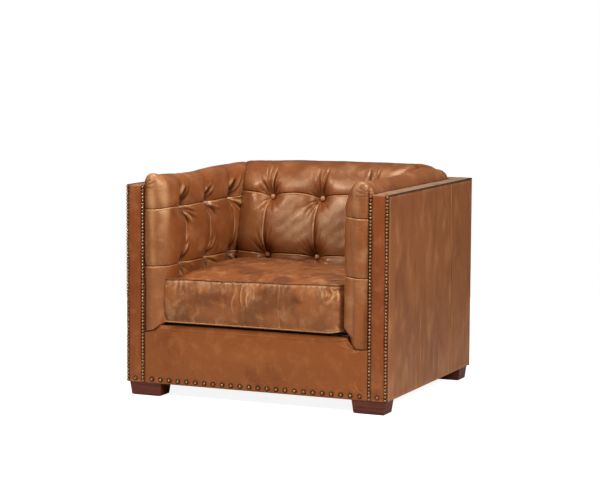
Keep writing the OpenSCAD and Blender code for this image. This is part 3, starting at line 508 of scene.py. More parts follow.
def arm_pad(side):
    """An arm pad, as a grid that runs from the outer front edge round the nose to the mitre, and over the top."""
    right = side > 0
    hand, seed = ("right", 11) if right else ("left", 5)
    nose_end = FRONT_Y + NOSE
    nose_start = nose_end - NOSE * math.pi / 2
    start = nose_start - (WALL_X - PAD_X - NOSE)
    end, last = 0.205, ARM_COLUMNS[-1]    # rear end of the grid's face, and its last column
    crest, knee = 0.69, 0.645             # heights where the face ends, and where it starts to stretch
    p, q, on_wall, across = pad_grid((start, end), (PAD_FOOT, crest), ARM_COLUMNS, ARM_ROWS, step=0.0034,
                                     reach=0.013, roof_rows=44, roof_step=0.0032)
    pw, qw = wander(p, q, ARM_COLUMNS, ARM_ROWS, bows=(0.016, 0.013, 0.018), sags=(0.004, 0.006), lift=-0.02,
                    power=1, reach=0.04, calm=(0.01, crest - 0.005), rough=0.0012, size=0.05, seed=seed + 3,
                    share=smooth(p, nose_start, nose_end))

    # Plan of the wall
    turn = np.clip((nose_end - pw) / NOSE, 0, math.pi / 2)
    x = PAD_X + NOSE * (1 - np.cos(turn)) + np.maximum(nose_start - pw, 0)
    y = np.where(pw > nose_end, pw, FRONT_Y + NOSE * (1 - np.sin(turn)))
    front = smooth((nose_end - pw) / (nose_end - nose_start))
    # Radius of the roll between the wall and the roof
    roll = (0.04 - 0.016 * front - 0.02 * smooth(pw, 0.1, end)) * np.clip((WALL_X - x) / 0.03, 0.05, 1)
    dip = (0.009, 0.004)[right] * hump(y + 0.17, 0.14)

    def top(at_x, sunk):
        return ARM_TOP - sunk - PAD_EDGE * rolled(WALL_X - at_x, 0.04)

    z = climb(qw, knee, crest, top(x, dip) - roll)
    # The roof, from the wall's top to the outer edge
    ahead = np.maximum(nose_end - pw[:, -1:], 0) / (nose_end - start)
    foot_x, foot_y, roof_roll = x[:, -1:], y[:, -1:], roll[:, -1:]
    spine_y = np.where(pw[:, -1:] > nose_end, foot_y, nose_end - (nose_end - FRONT_Y - 0.006) * ahead ** 0.7)
    run = np.hypot(WALL_X - foot_x, spine_y - foot_y)
    rx = foot_x + across * (WALL_X - foot_x)
    ry = foot_y + across * (spine_y - foot_y)
    rz = top(rx, dip[:, -1:]) - roof_roll * rolled(across * run, np.maximum(roof_roll, 1e-4))
    grid = np.stack([x, y, z], axis=2)
    grid[:, on_wall:] = np.stack([rx, ry, rz], axis=2)

    # The rear end follows the mitre against the leaning back pad
    face_y = BACK_FACE_Y + (grid[..., 2] - BACK_ROWS[1]) * LEAN
    mitre_y = face_y + MITRE + (grid[..., 0] - PAD_X) * MITRE_SLOPE
    rear = np.clip((pw - last) / (end - last), 0, None)
    grid[..., 1] = np.where(pw > last, last + rear * (mitre_y - last), grid[..., 1])
    grid = eased(grid, hump(q[0] - crest, 0.018), 14)

    past = pw - nose_start                # how far along the leather from where the nose starts
    bulge = 0.0135 * (0.35 + 0.65 * smooth(pw, nose_start, nose_end + 0.03)) * smooth(q, 0.36, 0.47)
    bulge = bulge * fade(q, 0.6, 0.76) + 0.0085 * hump(past - 0.004, 0.026)
    if right:
        # This pad leans in over its whole front edge
        edge = smooth(pw, nose_start + 0.005, nose_end - 0.025) * fade(pw, nose_end + 0.01, nose_end + 0.09)
        bulge = np.maximum(bulge, 0.0185 * edge * smooth(q, 0.215, 0.25) * fade(q, 0.64, 0.73))
    # Deep soft valleys run up from the upper buttons, and a pocket opens just above every button
    above_row = smooth(q, ARM_ROWS[1] - 0.01, ARM_ROWS[1] + 0.03) * fade(q, 0.665, 0.775)
    pockets = np.zeros(p.shape)
    for column in ARM_COLUMNS:
        bulge = bulge - 0.0165 * hump(pw - column, 0.019) * above_row
        for row in ARM_ROWS:
            rise = qw - row
            pockets += hump(pw - column + 0.003, 0.012) * smooth(rise, -0.002, 0.01) * fade(rise, 0.014, 0.048)
    bulge = bulge - 0.0125 * pockets
    column_fade = (1 - 0.75 * smooth(q, ARM_ROWS[1] + 0.02, ARM_ROWS[1] + 0.11)) * smooth(q, 0.33, 0.43)
    height, shade_and_highlight = tufted(p, q, pw, qw, ARM_COLUMNS, ARM_ROWS, bulge, column_fade * fade(q, 0.68, 0.76),
                            0.9 + 0.1 * smooth(pw, nose_start - 0.02, nose_end + 0.05),
                            scattered(ARM_COLUMNS, ARM_ROWS, ARM_FOLDS, seed),
                            column_valley=(0.004, 0.01, 0.0075, 0.019), row_valley=(0.0026, 0.008, 0.0024, 0.018))
    # Painted shade deep in every pocket
    shade_and_highlight -= 1.7 * pockets
    height += 0.001 * waves(pw, qw, 0.06, seed + 1) + 0.0004 * waves(pw, qw, 0.02, seed + 2)
    # A fine gather fans out from the front top corner, its folds in painted shade with painted highlights
    for degrees, length in ((-6, 0.04), (18, 0.05), (42, 0.05), (64, 0.04)):
        h, c = crease(pw, qw, (start, 0.676), degrees, length, 0.001, 0.0018, 0.2, lead=0.004)
        height, shade_and_highlight = height + h, shade_and_highlight + 0.8 * c
    # Edges turn in at the nails, at the mitre and along the piping, with painted shade where they turn in at the
    # nails and the mitre
    height -= 0.005 * rolled(pw - start, 0.01) + 0.004 * fade(pw, start, start + 0.04)
    shade_and_highlight -= 0.8 * rolled(pw - start, 0.006)
    height += 0.0095 * smooth(q, 0.6, 0.68) * fade(q, 0.695, 0.74) * smooth(pw, 0.1, 0.19)
    height -= (0.018 - 0.016 * smooth(q, 0.6, crest)) * rolled(end - pw, 0.034)
    shade_and_highlight -= 0.9 * rolled(end - pw, 0.012)
    grid = grid - normals(grid) * height[..., None]

    # The heel: the front face ends at a curve, where the border's leather meets it, with painted shade along the seam
    on_front = fade(grid[..., 1], nose_end - 0.012, nose_end + 0.012)
    seam = heel(side * grid[..., 0])
    grid[..., 2] += (seam - PAD_FOOT) * on_front * fade(grid[..., 2], PAD_FOOT, PAD_FOOT + 0.075)
    gap = grid[..., 2] - seam
    share = on_front * fade(grid[..., 0], *HEEL_END) * (0.5, 1.0)[right]
    grid[..., 1] += 0.006 * rolled(gap, 0.012) * share
    shade_and_highlight -= 0.7 * rolled(gap, 0.005) * share

    # The front face gets painted light, with fine level ripples: painted shade by the nails and low on the right pad,
    # painted highlights in upright bands, and paler towards the top
    fine = fade(pw, nose_start - 0.004, nose_start + 0.045) * smooth(pw, start, start + 0.012)
    streak = 0.5 + 0.5 * waves(pw * 4, q, 0.05, seed + 6)
    shade_and_highlight -= (0.55, 0.45)[right] * fade(pw, start, start + 0.022)
    if right:
        shade_and_highlight -= 0.3 * fine * fade(q, 0.27, 0.42)
        shade_and_highlight += 0.26 * hump(past - 0.02, 0.016) * (0.75 + 0.5 * streak)
    else:
        shade_and_highlight += 0.2 * hump(past - 0.008, 0.009) * smooth(q, 0.3, 0.5) * (0.6 + 0.8 * streak)
        shade_and_highlight += 0.48 * hump(past - 0.044, 0.014) * smooth(q, 0.52, 0.62) * fade(q, 0.69, 0.73)
    shade_and_highlight += fine * ((0.14, 0.0)[right] + (0.34, 0.2)[right] * smooth(q, 0.54, 0.66)) * (0.5 + streak)

    grid[..., 0] *= side
    piece = shell(hand + "_arm_cover", grid, (side * WALL_X, 0.0, 0.46), shade_and_highlight, flip=right)
    ripple = np.zeros(len(piece.data.vertices))
    ripple[:fine.size] = fine.reshape(-1)
    mark(piece, "ripple", ripple)
    return settle(piece, "pad", hand + "_arm_pad")


# ------------ back pad
def drop_from_edge(x, y, edge_x, edge_y, depth, radius):
    """How far a rolled edge lowers the plan point (x, y): the deepest of the rolls along the edge line's segments."""
    total = np.zeros(x.shape)
    for k in range(len(edge_x) - 1):
        ax, ay, bx, by = edge_x[k], edge_y[k], edge_x[k + 1], edge_y[k + 1]
        length = max((bx - ax) ** 2 + (by - ay) ** 2, 1e-12)
        t = np.clip(((x - ax) * (bx - ax) + (y - ay) * (by - ay)) / length, 0, 1)
        gap = np.hypot(x - ax - t * (bx - ax), y - ay - t * (by - ay))
        deep = depth[k] + t * (depth[k + 1] - depth[k])
        total = np.maximum(total, deep * rolled(gap, radius[k] + t * (radius[k + 1] - radius[k])))
    return total


def back_pad():
    """The back pad: a grid across the face, round its ends and along the mitres, and up over the top."""
    bend = MITRE * 0.975
    flat = PAD_X - bend
    half = flat + bend * math.pi / 2
    mitre_run = np.hypot(WALL_X - PAD_X, SPINE_Y - BACK_FACE_Y - bend)
    end, crest, knee, seed = half + mitre_run, 0.672, 0.65, 23
    p, q, on_wall, across = pad_grid((-end, end), (back_low.z + 0.004, crest), BACK_COLUMNS, BACK_ROWS,
                                     step=0.0036, reach=0.014, roof_rows=56, roof_step=0.0042)
    pw, qw = wander(p, q, BACK_COLUMNS, BACK_ROWS, bows=(-0.0113, -0.0078, -0.006), sags=(0.004, 0.012), lift=0.012,
                    power=0.8, reach=0.045, calm=(0.006, crest - 0.002), rough=0.001, size=0.06, seed=seed + 3)

    reach, hand = np.abs(pw), np.sign(pw)
    turn = np.clip((reach - flat) / bend, 0, math.pi / 2)
    past = np.clip((reach - half) / mitre_run, 0, 1)
    x = hand * (np.minimum(reach, flat) + bend * np.sin(turn) + past * (WALL_X - PAD_X))
    y = BACK_FACE_Y + bend * (1 - np.cos(turn)) + past * (SPINE_Y - BACK_FACE_Y - bend)
    roll = 0.058 - 0.048 * smooth(turn / (math.pi / 2)) - 0.002 * smooth(past, 0, 0.35)

    def top(at_x, at_y):
        sides = 0.045 * rolled(WALL_X - np.abs(at_x), 0.09) + 0.007 * smooth(-at_x, 0.02, 0.3)
        return BACK_TOP - sides - 0.052 * rolled(SPINE_Y - at_y, 0.075)

    z = climb(qw, knee, crest, np.maximum(top(x, y) - roll, STRIP_Z - 0.02))
    foot_x, foot_y = x[:, -1:], y[:, -1:]
    inner = flat + (PAD_X - 0.021 - flat) * turn[:, -1:] / (math.pi / 2)
    spine_x = hand[:, -1:] * (np.minimum(reach[:, -1:], inner) + past[:, -1:] * (WALL_X - PAD_X + 0.021))
    rx = foot_x + across * (spine_x - foot_x)
    ry = foot_y + across * (SPINE_Y - foot_y)
    drop = drop_from_edge(rx, ry, foot_x[:, 0], foot_y[:, 0], roll[:, -1], np.maximum(roll, 0.012)[:, -1])
    grid = np.stack([x, y, z], axis=2)
    grid[:, on_wall:] = np.stack([rx, ry, np.maximum(top(rx, ry) - drop, STRIP_Z - 0.02)], axis=2)
    grid[..., 1] += (grid[..., 2] - BACK_ROWS[1]) * LEAN
    grid = eased(grid, hump(q[0] - crest, 0.035), 60)

    face = smooth(q, 0.36, 0.48) * fade(q, 0.63, 0.74)
    bulge = 0.012 * face * (1 - 0.3 * smooth(reach, 0.2, 0.3)) + 0.0015 * smooth(q, 0.68, 0.76)
    height, shade_and_highlight = tufted(p, q, pw, qw, BACK_COLUMNS, BACK_ROWS, bulge,
                            fade(q, BACK_ROWS[1], BACK_ROWS[1] + 0.09) * smooth(q, 0.33, 0.43), np.ones(p.shape),
                            scattered(BACK_COLUMNS, BACK_ROWS, BACK_FOLDS, seed),
                            column_valley=(0.003, 0.009, 0.0026, 0.02), row_valley=(0.0024, 0.008, 0.0022, 0.018),
                            hand=-1)
    height += 0.0012 * waves(pw, qw, 0.07, seed + 1) + 0.0004 * waves(pw, qw, 0.022, seed + 2)
    height -= 0.017 * rolled(half - reach, 0.034) * fade(q, 0.58, crest)
    # Painted shade at both ends and in a band near the top; a patch of painted light between the rows at the left end
    shade_and_highlight -= 0.9 * rolled(half - reach, 0.012) * (q < crest)
    shade_and_highlight += 0.28 * smooth(-pw, 0.18, 0.215) * smooth(q, 0.45, 0.5) * fade(q, 0.61, 0.66)
    shade_and_highlight -= 0.14 * hump(q - 0.705, 0.03)
    grid = grid + normals(grid) * height[..., None]
    piece = shell("back_cover", grid, (0.0, WALL_Y - 0.06, 0.46), shade_and_highlight, flip=True)
    return settle(piece, "back", "back_pad")


# ------------ flat panels
def nail_centres():
    """Places of the nails on the front, in (x, z), found from the frame's nail nodes."""
    column_box, row_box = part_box("right_nails"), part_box("border_nails")
    outer, inner = column_box[1].x - NAIL / 2, WALL_X + NAIL / 2
    low, high = column_box[0].z + NAIL / 2, column_box[1].z - NAIL / 2
    count = round((high - low) / NAIL_PITCH) + 1
    foot_z = (row_box[0].z + row_box[1].z) / 2
    found = [(x, z) for x in (inner, outer) for z in np.linspace(low, high, count)]
    found.append(((inner + outer) / 2, foot_z))
    found += [(-x, z) for x, z in found]
    reach = row_box[1].x - ROW_NAIL / 2
    return found + [(x, foot_z) for x in np.linspace(-reach, reach, ROW_COUNT)]


def round_nails(a, b, centres, ring, width):
    """1 on a ring round every nail, or on the nail itself where the ring is 0, dying away over the width."""
    total = np.zeros(a.shape)
    for x, z in centres:
        near = np.abs(a[:, 0] - x) < ring + 3.5 * width
        if near.any():
            total[near] = np.maximum(total[near], hump(np.hypot(a[near] - x, b[near] - z) - ring, width))
    return total


def panel(name, look, node, axis, across, seams=(), centres=(), bulge=0.0016, edge=0.004, seed=1, painted_light_and_streaks=0.0):
    """A leather-covered board: a softly crowned face with turned edges, on the outer side of a CAD slab.

    A seam is (place, lean, strength, and where it starts to fade, from -1 at the foot to 1 at the top).
    """
    low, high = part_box(node)
    up = 3 - axis - across
    outward = 1 if high[axis] + low[axis] > 0 else -1
    outer, inner = (high[axis], low[axis])[::outward]
    near = sorted({round(x, 4) for x, z in centres if low[across] < x < high[across]})
    marks = [low[across], high[across], *[seam[0] for seam in seams], *near]
    a, b = crossed(lines(low[across], high[across], 0.008, marks, 0.001, 0.004),
                   lines(low[up], high[up], 0.0022 if near else 0.008, [low[up], high[up]], 0.001, 0.004))
    middle, half = (low + high) / 2, (high - low) / 2
    u, v = (a - middle[across]) / half[across], (b - middle[up]) / half[up]
    gap = np.minimum(half[across] * (1 - np.abs(u)), half[up] * (1 - np.abs(v)))
    height = bulge * (1 - np.abs(u) ** 4) * (1 - np.abs(v) ** 6) - edge * rolled(gap, edge)
    height += 0.0005 * waves(a, b, 0.05, seed) * (1 - np.abs(v) ** 8)
    # A painted highlight along the turned edges, and a little uneven tone
    wear_shade_highlight = 0.35 * hump(gap - 0.004, 0.004) + 0.1 * waves(a, b, 0.03, seed + 9)
    # Each seam: a painted highlight along its raised side, painted shade in its groove
    for place, lean, strong, fades_at in seams:
        d = a - place - lean * (b - middle[up])
        share = strong * fade(v, fades_at, fades_at + 0.5)
        height += share * (0.0014 * hump(d + 0.006, 0.004) - 0.0016 * hump(d, 0.0024))
        wear_shade_highlight += share * (0.8 * hump(d + 0.006, 0.0036) - 0.95 * hump(d, 0.0028))
    # Paler towards the bottom as a painted floor reflection, paler along one end as a painted highlight, and streaked
    wear_shade_highlight += painted_light_and_streaks * (fade(b, low[up], low[up] + 0.22) + 0.8 * hump(a - low[across], 0.012)
                    + 0.7 * waves(a * 3.5, b * 0.6, 0.05, seed + 4))
    if len(centres):
        height -= 0.0016 * round_nails(a, b, centres, 0.0, 0.0075)
        # Round every nail a ring of painted shade, and a painted highlight in a line inside each end beside the nails
        wear_shade_highlight -= 0.95 * round_nails(a, b, centres, 0.0064, 0.0026)
        for end in (low, high):
            wear_shade_highlight += 0.35 * hump(np.abs(a - end[across]) - 0.0125, 0.002)
    grid = np.zeros(a.shape + (3,))
    grid[..., axis] = outer + outward * (height - 0.0006)
    grid[..., across], grid[..., up] = a, b
    hub = Vector(middle)
    hub[axis] = inner
    turn = np.cross(np.eye(3)[across], np.eye(3)[up])[axis] * outward
    piece = shell(name, grid, tuple(hub), wear_shade_highlight, backing=(axis, inner), flip=turn < 0)
    return settle(piece, look, node)


# Pale strokes on the border, each a crease with a painted highlight, in mm: the pucker under the right heel, its
# tension lines, a curved wrinkle low on the right, and one under the left heel. Each runs from (x, z) to (x, z), with
# a bow, a depth and a width.
BORDER_STROKES = ((340, 205, 368, 203.5, 4, 2, 3.5), (338, 196, 362, 201.5, 2, 1.4, 3),
                  (300, 214, 335, 204, -3, 1, 4), (285, 222, 318, 222, 4, 0.8, 4), (347.5, 110, 376, 61, 6, 1.4, 3),
                  (358, 112, 364, 80, 3, 0.8, 2.6), (-362, 206, -345, 216, 1, 0.7, 3))


def front_border(nails):
    """The padded border over the front rail: it rolls over at the top, and its ears meet the arm pads at an arc."""
    low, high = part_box("front_border")
    corners = [low.x, high.x, -0.3575, -0.3385, -PAD_X, PAD_X, 0.3195, 0.3575]
    levels = np.concatenate([lines(0, 1, 0.022, [0.0, 0.07, 1.0], 0.006, 0.02), np.linspace(1, 2, 12)[1:]])
    x, level = crossed(lines(low.x, high.x, 0.005, corners, 0.0012, 0.006), levels)
    reach = np.abs(x)
    ear = smooth(reach, PAD_X - 0.03, PAD_X + 0.006)
    ceiling = np.where(reach < PAD_X, high.z, np.minimum(heel(x) - 0.0005, high.z))
    roll_z, roll_y = 0.012 - 0.007 * ear, 0.03 - 0.021 * ear
    turn = np.clip(level - 1, 0, 1) * math.pi / 2
    z = low.z + np.clip(level, 0, 1) * (ceiling - roll_z - low.z) + roll_z * np.sin(turn)
    swell_z = arch((z - low.z) / (high.z - low.z))
    height = 0.0045 * (1 - np.abs(x / high.x) ** 6) * swell_z ** 0.7 + 0.0011 * waves(x, z, 0.08, 41) * swell_z
    centres = [(cx, cz) for cx, cz in nails if cz < 0.06 and abs(cx) < high.x]
    height -= 0.003 * round_nails(x, z, centres, 0.0, 0.01)
    # Painted shade in a ring round every nail
    wear_shade_highlight = -0.85 * round_nails(x, z, centres, 0.0068, 0.0022)
    for x0, z0, x1, z1, bow, deep, wide in np.array(BORDER_STROKES) / 1000:
        run = np.hypot(x1 - x0, z1 - z0)
        t = ((x - x0) * (x1 - x0) + (z - z0) * (z1 - z0)) / run ** 2
        d = ((x - x0) * (z1 - z0) - (z - z0) * (x1 - x0)) / run - bow * arch(t)
        share = smooth(t, -0.05, 0.25) * fade(t, 0.75, 1.05)
        height += share * deep * (hump(d, wide) - 0.7 * hump(d + 2 * wide, 1.2 * wide))
        # A painted highlight along the stroke's crease, and a little painted shade beside it
        wear_shade_highlight += share * min(1, deep / 0.0014) * (0.7 * hump(d, wide) - 0.3 * hump(d + 1.8 * wide, wide))
    # Painted shade over the top roll and along the bottom, a painted highlight across the middle
    wear_shade_highlight -= 0.55 * smooth(z, high.z - 0.024, high.z - 0.006) * (1 - ear)
    wear_shade_highlight += 0.3 * hump(z - low.z - 0.115, 0.045) * hump(x + 0.05, 0.25)
    wear_shade_highlight -= 0.16 * fade(z, low.z + 0.004, low.z + 0.055)
    height -= 0.0045 * rolled(np.minimum(high.x - reach, z - low.z), 0.006)
    # The seam under each heel sinks in, with painted shade along it
    seam = rolled((1 - level) * (ceiling - low.z), 0.009) * ear * (level <= 1)
    seam = seam * fade(reach, *HEEL_END) * np.where(x > 0, 1.0, 0.5)
    height -= 0.005 * seam
    wear_shade_highlight = wear_shade_highlight - 0.6 * seam
    grid = np.stack([x, low.y + 0.0005 - height + roll_y * (1 - np.cos(turn)), z], axis=2)
    piece = shell("front_border_cover", grid, (0.0, high.y, 0.15), wear_shade_highlight, backing=(1, high.y))
    return settle(piece, "border", "front_border")


def top_strip(node, name, along):
    """A lightly padded strip between the two lines of piping."""
    low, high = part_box(node)
    across = 1 - along
    a, b = crossed(lines(low[along], high[along], 0.012, [low[along], high[along]], 0.002, 0.01),
                   np.linspace(low[across], high[across], 22))
    middle, half = (low + high) / 2, (high - low) / 2
    v = (b - middle[across]) / half[across]
    grid = np.zeros(a.shape + (3,))
    grid[..., along], grid[..., across] = a, b
    grid[..., 2] = high.z + 0.003 * (1 - np.abs(v) ** 2.5) - 0.0022 + 0.0005 * waves(a, b, 0.035, 77)
    turn = np.cross(np.eye(3)[along], np.eye(3)[across])[2]
    piece = shell(name, grid, (middle[0], middle[1], low.z), 0.2 * waves(a, b, 0.02, 3), (2, low.z), turn < 0)
    return settle(piece, "strip", node)


# ------------ seat cushion
def block(*cells):
    """Lattice points (0 to 1) and quads of the surface of a box of nx by ny by nz cells."""
    index, points, faces = {}, [], []
    onward, back = ((0, 0), (1, 0), (1, 1), (0, 1)), ((0, 0), (0, 1), (1, 1), (1, 0))
    for a, b, c, sides in ((0, 1, 2, ((1, onward), (0, back))), (0, 2, 1, ((0, onward), (1, back))),
                           (1, 2, 0, ((0, back), (1, onward)))):
        for i in range(cells[a]):
            for j in range(cells[b]):
                for far, turn in sides:
                    quad = []
                    for di, dj in turn:
                        key = [0, 0, 0]
                        key[a], key[b], key[c] = i + di, j + dj, far * cells[c]
                        key = tuple(key)
                        if key not in index:
                            index[key] = len(points)
                            points.append([k / n for k, n in zip(key, cells)])
                        quad.append(index[key])
                    faces.append(quad)
    return np.array(points), faces


def cushion_shape(lattice):
    """Places lattice points on the cushion: round upright corners, sides drawn in between them, a crowned top.

    It has settled a little to the left, and its rear seam rides up on the middle of the seat.
    """
    u, v, w = 2 * lattice[:, 0] - 1, 2 * lattice[:, 1] - 1, lattice[:, 2]
    half_x = CUSHION_HIGH.x - 0.002
    half_y = (CUSHION_HIGH.y - CUSHION_LOW.y) / 2 - 0.002
    mid_y = (CUSHION_HIGH.y + CUSHION_LOW.y) / 2
    x, y = half_x * u, half_y * v
    r = np.where(x > 0, CUSHION_CORNERS[1], CUSHION_CORNERS[0])
    cu = np.clip((np.abs(x) - half_x + r) / r, 0, 1)
    cv = np.clip((np.abs(y) - half_y + r) / r, 0, 1)
    both = (cu > 0) & (cv > 0)
    round_u, round_v = cu * np.sqrt(1 - cv ** 2 / 2), cv * np.sqrt(1 - cu ** 2 / 2)
    x = np.where(both, np.sign(x) * (half_x - r + r * round_u), x)
    y = np.where(both, np.sign(y) * (half_y - r + r * round_v), y)
    front = smooth(-y / half_y, 0.9, 1.0)
    left = 0.316 + 0.021 * smooth(-y / half_y, 0.82, 0.97)
    right = 0.307 - 0.01 * smooth(-y / half_y, 0.4, 0.8)
    x = (right - left) / 2 + x / half_x * (left + right) / 2
    y = y * (1 - 0.003 / half_y * (1 - u ** 2)) - (0.004 + 0.0035 * arch(w)) * front
    x = x + 0.003 * arch(w) * smooth(np.abs(u), 0.97, 1) * np.sign(u)
    ahead = (1 - v) / 2
    seam = (0.3875 + 0.0065 * (1 + u)) * ahead + (0.404 + 0.014 * hump(x + 0.09, 0.17)) * (1 - ahead)
    seam = seam + 0.0008 * np.sin(9 * u + 1) + 0.0006 * np.sin(11 * v)
    crown = 0.011 * (1 - np.abs(u) ** 4) * (1 - np.abs(v) ** 4)
    edge = np.maximum(np.abs(u), np.abs(v)) ** 8
    bottom = CUSHION_LOW.z + 0.0005 + 0.004 * edge + 0.005 * smooth(u, 0.84, 1) * smooth(-v, 0.84, 1)
    z = np.where(w > 0.999, seam + crown, bottom + w * (seam - bottom))
    return np.stack([x, y + mid_y, z], axis=1)


def swell(piece, pins, pressure, slack, cap):
    """Blows the mesh up a little as cloth held along the pins, and returns where its vertices end up."""
    rest = np.array([v.co for v in piece.data.vertices])
    group = piece.vertex_groups.new(name="held")
    for share in sorted(set(np.round(pins[pins > 0], 3))):
        group.add([int(i) for i in np.where(np.abs(pins - share) < 5e-4)[0]], float(share), "REPLACE")
    cloth_mod = piece.modifiers.new("swell", "CLOTH")
    for key, value in dict(vertex_group_mass="held", use_pressure=True, uniform_pressure_force=pressure,
                           shrink_min=slack, quality=6, mass=0.4, tension_stiffness=25, compression_stiffness=25,
                           shear_stiffness=12, bending_stiffness=1.2, air_damping=3).items():
        setattr(cloth_mod.settings, key, value)
    cloth_mod.settings.effector_weights.gravity = 0
    cloth_mod.point_cache.frame_start, cloth_mod.point_cache.frame_end = 1, 22
    scene = bpy.context.scene
    for step in range(1, 21):
        scene.frame_set(step)
    seen = piece.evaluated_get(bpy.context.evaluated_depsgraph_get())
    moved = np.array([v.co for v in seen.data.vertices])
    piece.modifiers.remove(cloth_mod)
    scene.frame_set(1)
    shift = moved - rest
    length = np.linalg.norm(shift, axis=1, keepdims=True)
    shift *= np.minimum(1, cap * np.tanh(length / cap) / np.maximum(length, 1e-9))
    return rest + shift


def subdivided(name, points, faces):
    """The mesh after one round of subdivision, as a new object."""
    rough = mesh_piece(name + "_rough", points, faces)
    rough.modifiers.new("finer", "SUBSURF").levels = 1
    fine = bpy.data.meshes.new_from_object(rough.evaluated_get(bpy.context.evaluated_depsgraph_get()))
    bpy.data.objects.remove(rough)
    fine.name = name
    return placed(name, fine)


def distances(places, ring):
    """How far each place is from the nearest of the ring's points."""
    tree = KDTree(len(ring))
    for k, at in enumerate(ring):
        tree.insert(at, k)
    tree.balance()
    return np.array([tree.find(place)[2] for place in places])


# Upright strokes where the front band has buckled, each pale on its ridge, rubbed and with a painted highlight, and
# with painted shade beside it; in mm: x, upper and lower end, bow, depth
BAND_STROKES = ((-47, 384, 318, -6, 2.2), (-27, 362, 310, -6, 2), (-75, 352, 285, -8, 1.1), (-8, 380, 335, 3, 1.1),
                (52, 378, 345, 3, 0.7), (243, 385, 360, 4, 1.2), (262, 387, 352, 6, 1.4), (279, 385, 345, 5, 1.2),
                (228, 382, 366, 3, 0.9), (-270, 382, 345, 2, 0.9), (-200, 384, 352, -3, 0.8),
                (-120, 384, 350, -3, 0.6))


